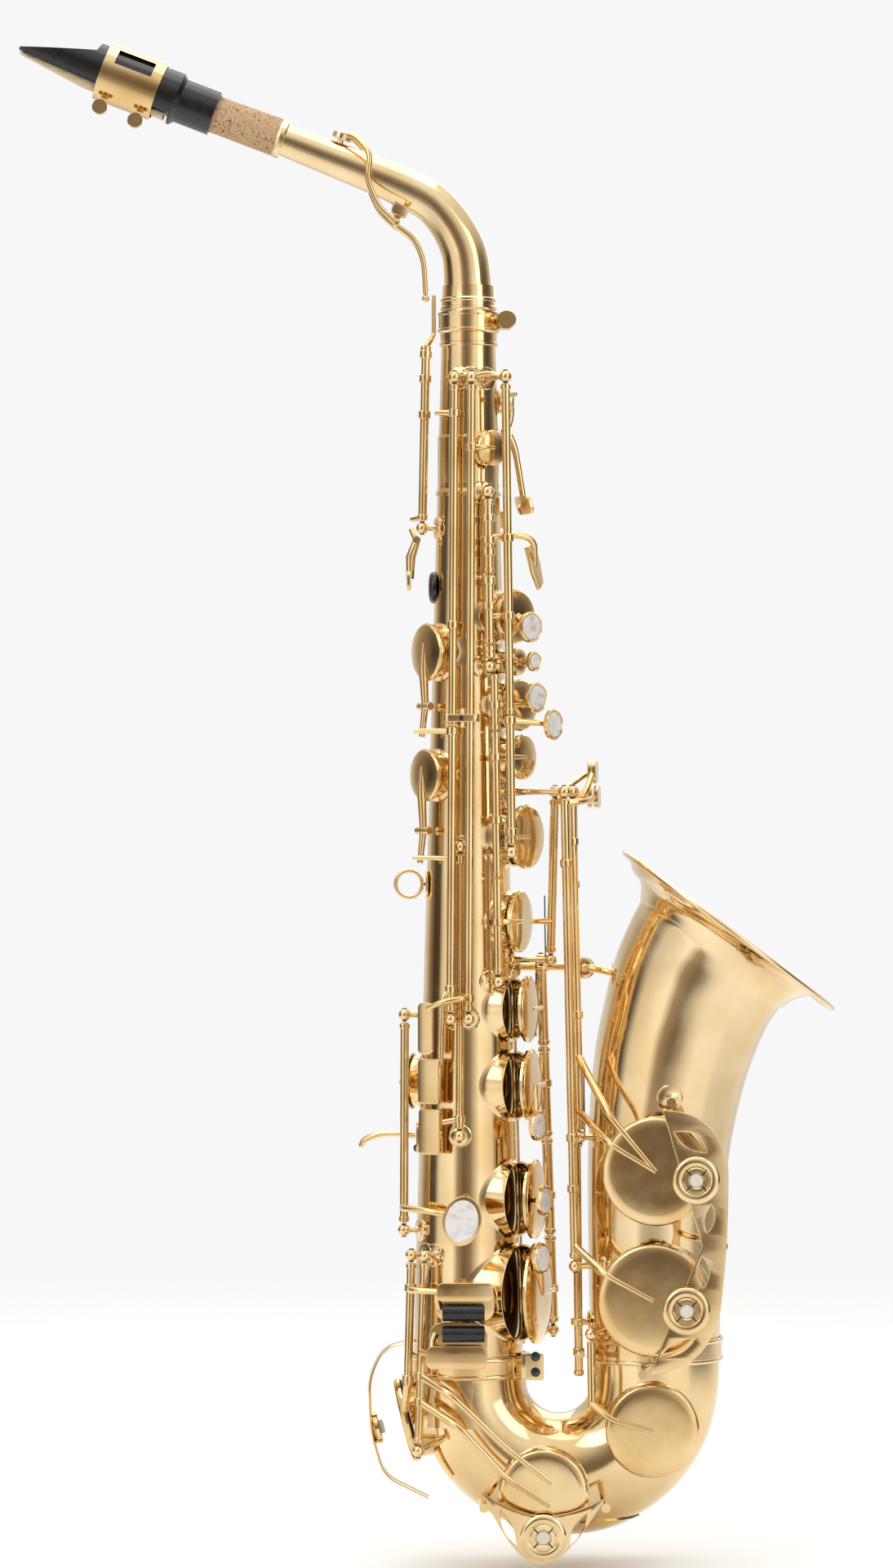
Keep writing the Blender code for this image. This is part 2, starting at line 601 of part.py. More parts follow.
def make_eb_guard():
    seat, way, radius = eb_seat()
    path = [(2.5, 0, -212.0), (-9.0, 0, -217.0), (-16.5, 0, -232.0), (-17.0, 0, -252.0), (-11.0, 0, -272.0),
            (9.0, 0, -285.0)]
    shapes = [swept(path, 2.4, 1)]
    centre = seat + way * 16.4
    shapes.append(turned([(0.0, 1.6), (6.5, 1.6), (6.5, -1.6), (0.0, -1.6)], centre, way, 14))
    spaces = [tube_space(bow_sections(), BOW_ROUND, GAP), tube_space(body_sections(), BODY_ROUND, GAP),
              bumper_space("eb")]
    solid("eb_guard", "lacquered_brass", shapes, spaces)


def bumper_place(name):
    """The middle of a felt bumper, the way it faces away from its cup, and its radius."""
    if name == "eb":
        seat, way, _ = eb_seat()
        return seat + way * 16.4, way, 3.2
    x, z, y = {"low_b": (131.3, -134.0, GUARD_FACE_Y), "low_bb": (126.9, -193.6, GUARD_FACE_Y),
               "low_c": (61.7, -297.6, LOW_C_GUARD_Y)}[name]
    return Vector((x, y, z)), Vector((0.0, -1.0, 0.0)), 3.3


def bumper_space(name):
    centre, way, radius = bumper_place(name)
    return cylinder(centre - way * 8.0, centre + way * 8.0, radius + GAP, sides=12)


def make_bumpers():
    """Felt plugs that sit in the guards' bosses and stop the opening cups."""
    for name in ("low_b", "low_bb", "low_c", "eb"):
        centre, way, radius = bumper_place(name)
        solid(name + "_bumper", "felt", [cylinder(centre - way * 3.0, centre + way * BUMPER_H, radius,
                                                  sides=12)])


def make_back_fittings():
    profile = [(7.1, 0.9), (7.1, -0.9), (5.3, -0.9), (5.3, 0.9)]
    hoop = turned(profile, (0, 0, 0), (0, 1, 0), 20)
    plate = block((7.6, 0, 0), (14.0, 16.0, 1.2), (1, 0, 0), 90)
    neckpiece = block((6.6, 0, 0), (5.0, 2.6, 2.0), (1, 0, 0))
    spaces = [tube_space(body_sections(), BODY_ROUND, GAP)]
    solid("strap_ring", "lacquered_brass", [hoop, neckpiece, plate], spaces)
    hook = [(3.0, 0, -117.0), (-6.0, 0, -116.0), (-14.0, 0, -116.4), (-20.5, 0, -119.0), (-22.5, 0, -122.0)]
    pad = block((3.6, 0, -118.0), (14.0, 10.0, 1.6), (1, 0, 0), 90)
    spaces = [tube_space(body_sections(), BODY_ROUND, GAP)]
    solid("thumb_hook", "lacquered_brass", [pad, swept(hook, [3.0, 3.0, 3.2, 3.0, 2.4], 1)], spaces)
    rest = turned([(0.0, 2.6), (7.0, 1.6), (7.5, 0.0), (0.0, 0.0)],
                  around(180.0, 138.0, body_radius(138.0) + GAP), (-1, 0, 0), 14)
    solid("thumb_rest", "hard_rubber", [rest], [tube_space(body_sections(), BODY_ROUND, GAP)])


def make_rod_guide():
    """A strap that keeps the two long side rods in line, on a leg from the body."""
    z = 77.0
    left, right = on_line("side_c", z), on_line("side_e", z)
    middle = (left + right) / 2
    strap = block(middle + Vector((0, 0.4, 0)), (17.0, 6.6, 3.6))
    leg_foot = Vector((BODY_X - 2.6, -body_radius(z) - GAP - 0.1, z))
    leg = cylinder(leg_foot, (BODY_X - 2.6, middle.y + 2.0, z), 1.8, 1.4)
    cuts = [cylinder(point - Vector((0, 0, 9)), point + Vector((0, 0, 9)), ROD_R + GAP, sides=12)
            for point in (left, right)]
    cuts.append(tube_space(body_sections(), BODY_ROUND, GAP))
    solid("rod_guide", "lacquered_brass", [strap, leg], cuts)


# ---------------------------------------------------------------- neck and mouthpiece

NECK_PIVOT = (BODY_X, 0.0, 269.0)
OCTAVE_PIVOT = (-5.1, 0.0, 311.0)


def make_neck():
    shapes = [tube_shell(NECK_SECTIONS, NECK_ROUND)]
    shapes.append(turned([(NECK_RING_R, NECK_RING_Z[1]), (NECK_RING_R, NECK_RING_Z[0]),
                          (10.9, NECK_RING_Z[0]), (10.9, NECK_RING_Z[1])], (BODY_X, 0, 0)))
    pip_top = (-31.6, 0.0, 346.2)
    shapes.append(cylinder((-33.9, 0.0, 340.5), pip_top, 1.7))
    # Saddle under the neck: two ears that carry the octave key's pivot
    for side in (-1, 1):
        shapes.append(block((-4.2, 3.2 * side, 313.4), (1.6, 5.4, 7.6), (0.36, 0, 0.93)))
    bore = [(x, z, r) for x, z, r in NECK_SECTIONS]
    cuts = [tube_space(bore[1:-1], NECK_ROUND, -WALL - 0.1)]
    cuts.append(cylinder((-33.7, 0.0, 341.0), (-31.3, 0.0, 347.5), 0.8))
    hinged("neck_tube", shapes, NECK_PIVOT, (0, 0, 1), material="neck_brass", cuts=cuts)


def make_neck_cork():
    tip, heel = Vector((CORK_TIP[0], 0, CORK_TIP[1])), Vector((CORK_HEEL[0], 0, CORK_HEEL[1]))
    body = cylinder(heel, tip, 9.0, 8.6, sides=FINE)
    tube_hole = tube_space(NECK_SECTIONS[:4], NECK_ROUND, GAP)
    way = (tip - heel).normalized()
    bore = cylinder(heel - way * 2, tip + way * 2, 6.0, sides=FINE)
    hinged("neck_cork", [body], NECK_PIVOT, (0, 0, 1), material="cork", cuts=[tube_hole, bore])


def make_neck_octave_key():
    """The octave key: pad cup on top, side bars round the neck, and a ball that meets the body's pin."""
    pivot = Vector(OCTAVE_PIVOT)
    shapes = [cylinder(pivot - Vector((0, 2.0, 0)), pivot + Vector((0, 2.0, 0)), 1.8)]
    way = Vector((0.36, 0, 0.93))
    shapes.append(turned([(0.0, 3.0), (4.6, 2.4), (4.6, 0.0), (0.0, 0.0)], Vector((-31.6, 0, 346.6)), way,
                         14))
    top = Vector((-31.6, 0.0, 346.6)) + way * 2.4
    for side in (-1, 1):
        bar = [top, (-24.5, 6.5 * side, 347.0), (-17.5, 12.2 * side, 338.5), (-19.5, 13.2 * side, 327.0),
               (-14.0, 12.6 * side, 314.0), (-6.0, 12.2 * side, 306.6)]
        shapes.append(arm(bar, 1.3))
    shapes.append(cylinder((-6.0, -12.8, 306.6), (-6.0, 12.8, 306.6), 1.3))
    shapes.append(arm([(-6.0, 0.0, 306.6), (-5.3, 0.0, 310.5)], 1.4))
    tail = [(-6.0, 0.0, 306.4), (1.0, 0.0, 301.4), (4.5, 0.0, 296.6), (7.0, 0.0, 289.0), (7.8, 0.0, 274.4)]
    shapes.append(arm(tail, 1.3))
    shapes.append(ball((7.8, 0.0, 272.6), 1.8))
    hinged("neck_octave_key", shapes, pivot, (0, 1, 0))


def along_mouthpiece(u, v=0.0, y=0.0):
    """A point u along the mouthpiece from its shank end and v above its axis."""
    way = Vector((MOUTHPIECE_WAY[0], 0.0, MOUTHPIECE_WAY[1])).normalized()
    above = Vector((-way.x * way.z / abs(way.x), 0.0, abs(way.x)))
    return Vector((SHANK_END[0], y, SHANK_END[1])) + way * u + above * v


def side_prism(profile, width):
    """A solid as wide as given, centred on the middle plane, from (u, v) points of the mouthpiece."""
    outline = [(point.x, point.z) for point in (along_mouthpiece(u, v) for u, v in profile)]
    return flat_plate(outline, width, (0, 0, 0), (0, -1, 0))


def make_mouthpiece():
    start, way = along_mouthpiece(0), along_mouthpiece(1) - along_mouthpiece(0)
    length = MOUTHPIECE_LENGTH
    outside = [(0.0, length), (9.0, length), (MOUTHPIECE_R - 0.5, length - 34.0),
               (MOUTHPIECE_R, SHANK_LENGTH + 2.0), (SHANK_R, SHANK_LENGTH), (SHANK_R, 0.0), (0.0, 0.0)]
    inside = [(0.0, length - 19.0), (4.0, length - 20.0), (5.5, SHANK_LENGTH + 8.0),
              (MOUTHPIECE_BORE_R, SHANK_LENGTH + 4.0), (MOUTHPIECE_BORE_R, -5.0), (0.0, -5.0)]
    body = turned(outside, start, way, 20)
    bore = turned(inside, start, way, 14)
    u, v = BEAK_ROOT
    beak = side_prism([(length + 9.0, BEAK_TIP_V - 3.0), (u, v), (u - 3.0, 22.0), (length + 9.0, 22.0)], 40.0)
    table = side_prism([(SHANK_LENGTH + 3.0, TABLE_HEEL_V), (length + 9.0, TABLE_TIP_V + 0.4),
                        (length + 9.0, -22.0),
                        (SHANK_LENGTH + 3.0, -22.0)], 40.0)
    hinged("mouthpiece", [body], start, (0, 0, 1), material="hard_rubber", cuts=[bore, beak, table])


def make_reed_and_ligature():
    start, way = along_mouthpiece(0), along_mouthpiece(1) - along_mouthpiece(0)
    tip = MOUTHPIECE_LENGTH - 0.6
    reed = side_prism([(22.0, TABLE_HEEL_V - 0.5), (tip, TABLE_TIP_V - 0.6), (tip, TABLE_TIP_V - 1.0),
                       (tip - 32.0, TABLE_HEEL_V - 1.6), (22.0, TABLE_HEEL_V - 2.5)], 12.4)
    hinged("reed", [reed], start, (0, 0, 1), material="cane")
    low, high = LIGATURE_SPAN
    inner = MOUTHPIECE_R + GAP
    band = turned([(LIGATURE_R, high), (LIGATURE_R, low), (inner, low), (inner, high)], start, way, 24)
    shapes = [band]
    for u in LIGATURE_SCREWS.values():
        shapes.append(block(along_mouthpiece(u, -15.8), (7.0, 6.0, 5.0), way))
    window = side_prism([(low + 5.0, 4.0), (high - 5.0, 4.0), (high - 5.0, 11.0), (low + 5.0, 11.0)], 60.0)
    hinged("ligature", shapes, start, (0, 0, 1), cuts=[window])
    for name, u in LIGATURE_SCREWS.items():
        centre = along_mouthpiece(u, -17.0)
        neck_end = centre + Vector((0, -3.5 - GAP, 0))
        shapes = [cylinder(neck_end, neck_end - Vector((0, 3.2, 0)), 1.8, sides=10),
                  cylinder(neck_end - Vector((0, 3.0, 0)), neck_end - Vector((0, 6.4, 0)), 3.6, sides=12)]
        hinged("ligature_screw_" + name, shapes, centre, (0, 1, 0))


def make_neck_screw():
    centre = Vector((BODY_X + 17.6, 0.0, 261.5))
    start = centre + Vector((0, -4.2, 0))
    shapes = [cylinder(start, start + Vector((0, -5.0, 0)), 2.4, sides=12),
              cylinder(start + Vector((0, -4.6, 0)), start + Vector((0, -11.0, 0)), 4.4, sides=12)]
    hinged("neck_screw", shapes, centre, (0, 1, 0))


# ---------------------------------------------------------------- keys

def make_left_stack():
    angle = STACK_HOLES["key_b"][1]
    key_on_line("key_b", "upper_stack", 143.0, 111.0,
                [stack_cup("key_b"), stack_arm("key_b", "upper_stack"),
                 *raised_pearl("key_b", around(angle, 118.8, 33.0), angle)], -16.0, 2.3)
    key_on_line("key_bis", "upper_stack", 110.6, 104.5,
                [stack_cup("key_bis"), stack_arm("key_bis", "upper_stack", 106.0),
                 *raised_pearl("key_bis", around(-28.0, 103.0, 34.0), -28.0, 4.6)], -14.0, 2.3)
    key_on_line("key_a", "middle_stack", 97.4, 71.2,
                [stack_cup("key_a"), stack_arm("key_a", "middle_stack"),
                 *raised_pearl("key_a", around(-27.0, 86.4, 35.0), -27.0, 7.0)], -15.0)
    key_on_line("key_c_aux", "middle_stack", 70.8, 3.4,
                [stack_cup("key_c_aux"), stack_arm("key_c_aux", "middle_stack")], -13.0)
    pearl = around(-21.0, 74.0, 41.0)
    rod = on_line("outer", 76.0)
    touch = [pearl_holder(pearl, bearing(-21.0)), arm([rod, pearl - bearing(-21.0) * 2.0], 1.4)]
    key_on_line("key_g", "outer", 78.0, 18.9,
                [stack_cup("key_g"), stack_arm("key_g", "outer"), *touch], -12.0)


def make_right_stack():
    spans = {"key_f_sharp": (-38.6, -75.4), "key_f": (-75.8, -118.0), "key_e": (-118.4, -163.6),
             "key_d": (-164.0, -205.0)}
    pearls = {"key_f": (-40.0, -111.0, 35.0), "key_e": (-38.0, -145.7, 37.4), "key_d": (-44.0, -172.0, 38.0)}
    for name, (top, bottom) in spans.items():
        shapes = [stack_cup(name), stack_arm(name, "lower_stack")]
        if name in pearls:
            angle, z, radius = pearls[name]
            shapes += raised_pearl(name, around(angle, z, radius), angle)
        key_on_line(name, "lower_stack", top, bottom, shapes, 11.0, 2.4)


def make_g_sharp():
    key_on_line("key_g_sharp", "middle_stack", 3.0, -41.2,
                [stack_cup("key_g_sharp"), stack_arm("key_g_sharp", "middle_stack")])


def make_side_keys():
    face = Vector((-0.55, -0.83, 0.0))
    # High E: the long rod to the cup near the top, with the upper touch
    touch = block((8.0, -27.0, -66.0), (8.0, 24.0, 1.9), face)
    elbow = [on_line("side_e", -52.0), (24.0, -32.2, -52.0), (14.0, -31.6, -54.0), (8.6, -27.8, -57.0)]
    key_on_line("side_e_key", "side_e", 231.2, -58.2,
                [stack_cup("side_e_key"), stack_arm("side_e_key", "side_e"), arm(elbow), touch])
    # Side C lever: its finger lies on the tail of the side C cup key
    tail_c = around(-149.3, 71.0, body_radius(71.0) + 11.5)
    touch = block((9.2, -25.5, -90.4), (8.0, 20.0, 1.9), face)
    elbow = [on_line("side_c", -48.0), (15.4, -27.5, -52.0), (14.6, -27.4, -84.0), (10.6, -26.4, -88.0)]
    key_on_line("side_c_lever", "side_c", 73.6, -58.2,
                [arm([on_line("side_c", 71.0), tail_c]), arm(elbow), touch])
    # Side B flat lever, with its own rod behind the long ones
    tail_bb = around(-147.0, 12.6, body_radius(12.6) + 11.5)
    near = on_line("side_bb", 12.0)
    touch = block((10.6, -25.5, -113.6), (8.0, 19.0, 1.9), face)
    key_on_line("side_bb_lever", "side_bb", 14.3, -112.3,
                [arm([near, (15.0, -19.6, 12.4), tail_bb], 1.1),
                 arm([on_line("side_bb", -108.0), (12.0, -25.6, -110.0)]), touch], 0.0, 1.6)
    for name, tail_z, hinge_z in (("side_c_cup", 72.4, 82.6), ("side_bb_cup", 14.0, 25.0)):
        z, angle, _ = SIDE_HOLES[name]
        way = bearing(angle)
        across = Vector((-way.y, way.x, 0.0))
        pivot = around(angle, hinge_z, body_radius(hinge_z) + 6.0)
        top = around(angle, z + 4.0, body_radius(z) + CHIMNEY_H + CUP_H - 0.4)
        tail = around(angle, tail_z - 4.0, body_radius(tail_z) + 7.6)
        shapes = [cylinder(pivot - across * 5.0, pivot + across * 5.0, 1.9), stack_cup(name),
                  swept([tail, pivot, around(angle, z - 8, body_radius(z) + CHIMNEY_H + CUP_H), top],
                        [1.4, 1.7, 2.2, 1.2], 0)]
        hinged(name, shapes, pivot, across)
    # High F sharp: touch on the right, cup at the back
    rod_point = on_line("high_f_sharp", -149.0)
    paddle = [(9.0 * cos(a), 11.6 * sin(a)) for a in [2 * pi * i / 16 for i in range(16)]]
    touch = flat_plate(paddle, 2.2, (24.6, -35.0, -154.0), (-0.1, -1, 0), -12)
    lever = arm([rod_point, (-3.0, -22.0, -149.0), (8.0, -31.0, -149.4), (20.0, -34.2, -152.0)], 1.5)
    key_on_line("high_f_sharp_key", "high_f_sharp", -64.0, -156.4,
                [stack_cup("high_f_sharp_key"), stack_arm("high_f_sharp_key", "high_f_sharp"), lever, touch])


def make_palm_keys():
    """Palm keys on the player's left, each with its hinge across the body above the touch."""
    for name, spin in (("palm_d_key", 26.0), ("palm_eb_key", 30.0), ("palm_f_key", 34.0)):
        z, angle, radius = SIDE_HOLES[name]
        way = bearing(angle)
        across = Vector((-way.y, way.x, 0.0))
        hinge_z = z - radius - 7.0
        pivot = around(angle, hinge_z, body_radius(hinge_z) + 5.5)
        top = around(angle, z, body_radius(z) + CHIMNEY_H + CUP_H - 0.4)
        touch = around(angle, hinge_z - spin, body_radius(hinge_z) + 14.0)
        shapes = [cylinder(pivot - across * 4.0, pivot + across * 4.0, 1.9), stack_cup(name),
                  arm([top, around(angle, z - radius, body_radius(z) + CHIMNEY_H + CUP_H), pivot], 1.6),
                  arm([pivot, around(angle, hinge_z - 8.0, body_radius(hinge_z) + 9.5), touch], 1.6),
                  block(touch, (9.0, 17.0, 2.2), way * 0.95 + Vector((0, 0, 0.3)), 90.0)]
        hinged(name, shapes, pivot, across)
    # Front F: a wing above the B pearl on the upper stack line
    wing = [(-4.0, 9.5), (4.5, 12.0), (6.0, 4.0), (2.5, -8.0), (-3.0, -11.0), (-5.0, -3.0)]
    centre = around(-21.0, 147.0, 33.0)
    touch = flat_plate(wing, 2.0, centre, (0.86, -0.42, 0.30))
    rod_point = on_line("upper_stack", 160.0)
    lever = arm([rod_point, around(-42.0, 162.0, 28.0), around(-26.0, 160.0, 34.0), centre], 1.5)
    key_on_line("front_f_key", "upper_stack", 178.2, 143.5, [lever, touch], 0.0, 2.3)


def make_octave_mechanism():
    """Thumb lever at the back, the swinging rod it moves, and the pin that works the neck's key."""
    rod_low, rod_high = on_line("octave", 172.0), on_line("octave", 250.0)
    pin_foot = Vector((11.6, 0.0, 256.0))
    pin = arm([on_line("octave", 249.0), (9.6, -2.0, 252.0), pin_foot], 1.2)
    key_on_line("octave_pin_lever", "octave", 250.2, 168.8,
                [pin, cylinder(pin_foot, (11.6, 0.0, 274.0), 1.0),
                 arm([on_line("octave", 170.4), (1.2, -2.0, 169.6)], 1.2)])
    pivot = Vector((3.6, 0.0, 160.0))
    shapes = [cylinder(pivot - Vector((0, 4.0, 0)), pivot + Vector((0, 4.0, 0)), 1.9),
              swept([pivot, (0.8, 0, 152.0), (0.6, 0, 142.0)], [1.8, 2.4, 1.8], 0),
              arm([pivot, (1.0, 3.4, 165.2)], 1.3)]
    plate = block((0.0, 0.0, 141.0), (16.0, 9.0, 1.8), (1, 0, 0), 0)
    hinged("octave_thumb_lever", [*shapes, plate], pivot, (0, 1, 0))


def make_link_rod():
    """The long outer rod that carries the stack's linkage up the body."""
    upper = on_line("outer", 226.0)
    key_on_line("stack_link_rod", "outer", 231.2, 78.4, [arm([upper, upper + Vector((4.4, 7.0, 1.0))], 1.4)])


def make_upper_vent():
    """The body's octave vent key on the upper part of the side C line."""
    key_on_line("body_vent_key", "side_c", 231.2, 74.0,
                [arm([on_line("side_c", 218.0), (12.2, -19.6, 218.0)], 1.3)])


TABLE_X, TABLE_BOTTOM_Z, TABLE_STEP = 84.6, 35.6, 11.4


TABLE_BENDS = {"low_bb_key": (80.5, -19.0, 38.6), "low_b_key": (82.0, -12.4, 43.0),
               "c_sharp_lever": (78.0, 8.0, 39.6)}


def table_touch(row, column):
    """A touch of the left little finger's table, edge-on to the player's right."""
    centre = (TABLE_X, 2.0 + 15.0 * column, TABLE_BOTTOM_Z + 5.0 + TABLE_STEP * row)
    return block(centre, (14.0, 10.4, 2.2), (1, 0, 0)), Vector(centre)


def make_little_finger_keys():
    levers = (("low_bb_key", "low_bb", -172.2, 0, 0), ("low_b_key", "low_b", -113.2, 1, 0),
              ("c_sharp_lever", "low_c_sharp", -228.2, 0, 1))
    for name, line, bottom, row, column in levers:
        touch, centre = table_touch(row, column)
        bend = Vector(TABLE_BENDS[name])
        shapes = [touch, arm([on_line(line, 37.6), bend, centre - Vector((0.4, 5.0, 0.0))], 1.4)]
        if name in LOW_HOLES:
            x, z, radius, height = LOW_HOLES[name]
            top_y = -(height + GAP + CUP_H - 0.9)
            shapes.append(cup((x, -height, z), (0, -1, 0), radius))
            for drop in (8.0, 34.0) if name == "low_b_key" else (6.0,):
                z_arm = bottom + drop
                start = on_line(line, z_arm)
                edge = Vector((x - radius * 0.86, top_y, z + (z_arm - z) * 0.5))
                shapes.append(arm([start, edge, (x, top_y, z)], 1.5))
            opened = -7.0
        else:
            # A finger that pushes the tail of the low C sharp cup key towards the bell
            shapes.append(arm([on_line(line, -217.0), (80.2, -21.6, -217.0)], 1.4))
            opened = 0.0
        key_on_line(name, line, 39.6, bottom, shapes, opened)
    # Low C sharp cup key, on a short hinge beside its cup
    x, z, radius, height = LOW_HOLES["c_sharp_cup"]
    top_y = -(height + GAP + CUP_H - 0.9)
    pivot_top, pivot_low = C_SHARP_HINGE
    shapes = [cylinder(pivot_low, pivot_top, ROD_R), cup((x, -height, z), (0, -1, 0), radius),
              arm([(84.4, -32.0, -238.0), (93.0, top_y, -245.0), (x, top_y, z)], 1.6),
              arm([(84.0, -30.4, -217.4), (84.0, -20.6, -217.4)], 1.4)]
    hinged("c_sharp_cup", shapes, pivot_top, pivot_top - pivot_low)
    # G sharp touch and lever, on a stub beside the table
    touch, centre = table_touch(1, 1)
    shapes = [touch, arm([on_line("g_sharp", 37.6), (75.0, 9.0, 46.0), centre], 1.3),
              arm([on_line("g_sharp", -17.0), (57.4, -12.6, -17.0)], 1.3)]
    key_on_line("g_sharp_lever", "g_sharp", 39.6, -31.8, shapes)


def make_right_little_finger_keys():
    x, z, radius, height = LOW_HOLES["low_c_key"]
    top_y = -(height + GAP + CUP_H - 0.9)
    plate = block((23.0, -37.0, -216.4), (28.0, 10.6, 2.4), (0, -1, 0))
    arms = [arm([on_line("low_c", -226.0), (20.0, -37.4, -233.0), (46.0, top_y, -258.0),
                 (x + 4, top_y, z + 5)], 1.6), arm([on_line("low_c", -238.0), (24.0, -38.0, -248.0),
                                                    (46.0, top_y, -272.0), (x + 3, top_y, z - 5)], 1.6),
                                                    arm([on_line("low_c", -215.0), (12.0, -36.4, -215.6)],
                                                        1.6)]
    key_on_line("low_c_key", "low_c", -174.4, -257.2,
                [cup((x, -height, z), (0, -1, 0), radius), plate, *arms], -4.5)
    seat, way, radius = eb_seat()
    top = seat + way * (GAP + CUP_H - 0.9)
    plate = block((26.0, -37.6, -186.4), (26.0, 8.6, 2.4), (0, -1, 0))
    shapes = [cup(seat, way, radius), plate, arm([on_line("eb", -228.0),
                                                  Vector((top.x, -17.0, top.z + 4.0)), top], 1.6),
                                                  arm([on_line("eb", -186.0), (1.4, -33.0, -186.0),
                                                       (14.0, -37.2, -186.2)], 1.6)]
    key_on_line("eb_key", "eb", -174.4, -231.2, shapes)
    for name, z_centre in (("eb_roller", -196.0), ("low_c_roller", -205.6)):
        ends = Vector((15.6, -37.2, z_centre)), Vector((35.0, -37.2, z_centre))
        centre = (ends[0] + ends[1]) / 2
        hinged(name, [cylinder(ends[0], ends[1], 3.8, sides=12)], centre, (1, 0, 0), material="black_roller")


def main():
    make_body_tube()
    make_bow()
    make_bell()
    make_bands()
    make_bell_brace()
    make_low_b_guard()
    make_low_c_guard()
    make_eb_guard()
    make_bumpers()
    make_back_fittings()
    make_rod_guide()
    make_neck()
    make_neck_cork()
    make_neck_octave_key()
    make_mouthpiece()
    make_reed_and_ligature()
    make_neck_screw()
    make_left_stack()
    make_right_stack()
    make_g_sharp()
    make_side_keys()
    make_palm_keys()
    make_octave_mechanism()
    make_link_rod()
    make_upper_vent()
    make_little_finger_keys()
    make_right_little_finger_keys()


clear_scene()
PARTS = new_collection(OBJECT_NAME)
WORK = new_collection("working_shapes")
MATERIALS = {name: make_material(name) for name in COLOURS}
main()
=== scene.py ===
"""Visual model of a gold lacquered alto saxophone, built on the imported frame."""

import json
from math import atan2, cos, pi, radians, sin, sqrt

import bmesh
import bpy
from mathutils import Matrix, Quaternion, Vector

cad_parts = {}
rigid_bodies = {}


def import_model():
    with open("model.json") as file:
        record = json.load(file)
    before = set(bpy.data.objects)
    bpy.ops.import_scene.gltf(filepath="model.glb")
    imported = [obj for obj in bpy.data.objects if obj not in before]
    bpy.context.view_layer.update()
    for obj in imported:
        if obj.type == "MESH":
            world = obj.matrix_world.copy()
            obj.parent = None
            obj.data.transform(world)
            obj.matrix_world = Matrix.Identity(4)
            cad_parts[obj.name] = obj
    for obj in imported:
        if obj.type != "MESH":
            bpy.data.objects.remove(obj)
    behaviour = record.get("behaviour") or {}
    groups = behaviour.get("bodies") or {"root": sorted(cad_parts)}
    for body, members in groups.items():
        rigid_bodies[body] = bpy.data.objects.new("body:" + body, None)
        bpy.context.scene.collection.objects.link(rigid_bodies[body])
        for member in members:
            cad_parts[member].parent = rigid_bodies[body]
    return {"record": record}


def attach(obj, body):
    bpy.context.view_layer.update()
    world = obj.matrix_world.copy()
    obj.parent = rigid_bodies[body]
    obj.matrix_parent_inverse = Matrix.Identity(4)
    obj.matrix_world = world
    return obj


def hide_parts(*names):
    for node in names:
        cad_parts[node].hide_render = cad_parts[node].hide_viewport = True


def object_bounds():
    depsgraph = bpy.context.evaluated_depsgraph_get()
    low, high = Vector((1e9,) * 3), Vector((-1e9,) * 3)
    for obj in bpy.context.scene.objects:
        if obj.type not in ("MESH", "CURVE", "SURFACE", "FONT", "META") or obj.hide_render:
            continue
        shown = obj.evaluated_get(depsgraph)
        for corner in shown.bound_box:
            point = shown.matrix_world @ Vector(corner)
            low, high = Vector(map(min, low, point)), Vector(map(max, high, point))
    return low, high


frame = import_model()
CAD_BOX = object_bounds()
BEHAVIOUR = frame["record"]["behaviour"]
BODY_OF = {node: body for body, nodes in BEHAVIOUR["bodies"].items() for node in nodes}

# All sizes below are in millimetres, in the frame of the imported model
MM = 0.001

# Tubes
BODY_X = 27.7
BODY_TOP_Z, BODY_BOTTOM_Z = 266.0, -223.0
BODY_TOP_R, BODY_BOTTOM_R = 13.1, 25.6
TAPER_TOP_Z, TAPER_BOTTOM_Z = 237.0, -217.6
GAP = 0.3
BOW_CENTRE_X, BOW_CENTRE_Z, BOW_BEND_R = 71.4, -230.9, 42.9
BOW_START_R, BOW_END_R = 25.9, 30.0
BELL_BOTTOM_Z = -215.4
# Bell centreline: x, z, radius
BELL_SECTIONS = [
    (114.4, BELL_BOTTOM_Z, 30.2), (114.6, -173.9, 31.0), (115.5, -135.9, 32.3), (117.6, -109.3, 33.8),
    (121.9, -82.7, 35.8), (127.0, -63.7, 37.2), (132.2, -48.5, 38.9), (137.8, -37.3, 40.1),
    (142.3, -30.7, 42.2), (146.2, -25.1, 47.1), (147.7, -22.9, 54.0), (148.6, -21.7, 60.5)]
# Neck centreline: x, z, radius
NECK_SECTIONS = [
    (-67.3, 349.6, 7.0), (-53.6, 344.5, 7.6), (-18.2, 330.8, 8.7), (1.9, 322.1, 9.3), (11.4, 316.4, 9.5),
    (18.6, 308.0, 9.7), (23.9, 298.5, 10.3), (26.6, 289.0, 10.8), (27.7, 272.0, 11.3), (27.7, 246.0, 11.3)]
CORK_TIP, CORK_HEEL = (-99.5, 361.6), (-60.5, 347.2)

# Mouthpiece, along its own axis from the shank end to the tip
SHANK_END, MOUTHPIECE_WAY = (-90.1, 358.4), (-0.934, 0.357)
MOUTHPIECE_LENGTH, SHANK_LENGTH, SHANK_R, MOUTHPIECE_R, MOUTHPIECE_BORE_R = 95.3, 17.0, 10.5, 12.6, 9.3
TABLE_HEEL_V, TABLE_TIP_V, BEAK_TIP_V, BEAK_ROOT = -8.6, -5.2, -3.8, (61.0, 7.2)
LIGATURE_SPAN, LIGATURE_R = (28.0, 56.0), 13.8
LIGATURE_SCREWS = {"front": 50.5, "rear": 33.0}

# Key work
ROD_R, POST_BALL_R, ARM_R = 2.0, 2.9, 1.3
CHIMNEY_H, CUP_H, CUP_OVERHANG = 3.5, 4.2, 1.4

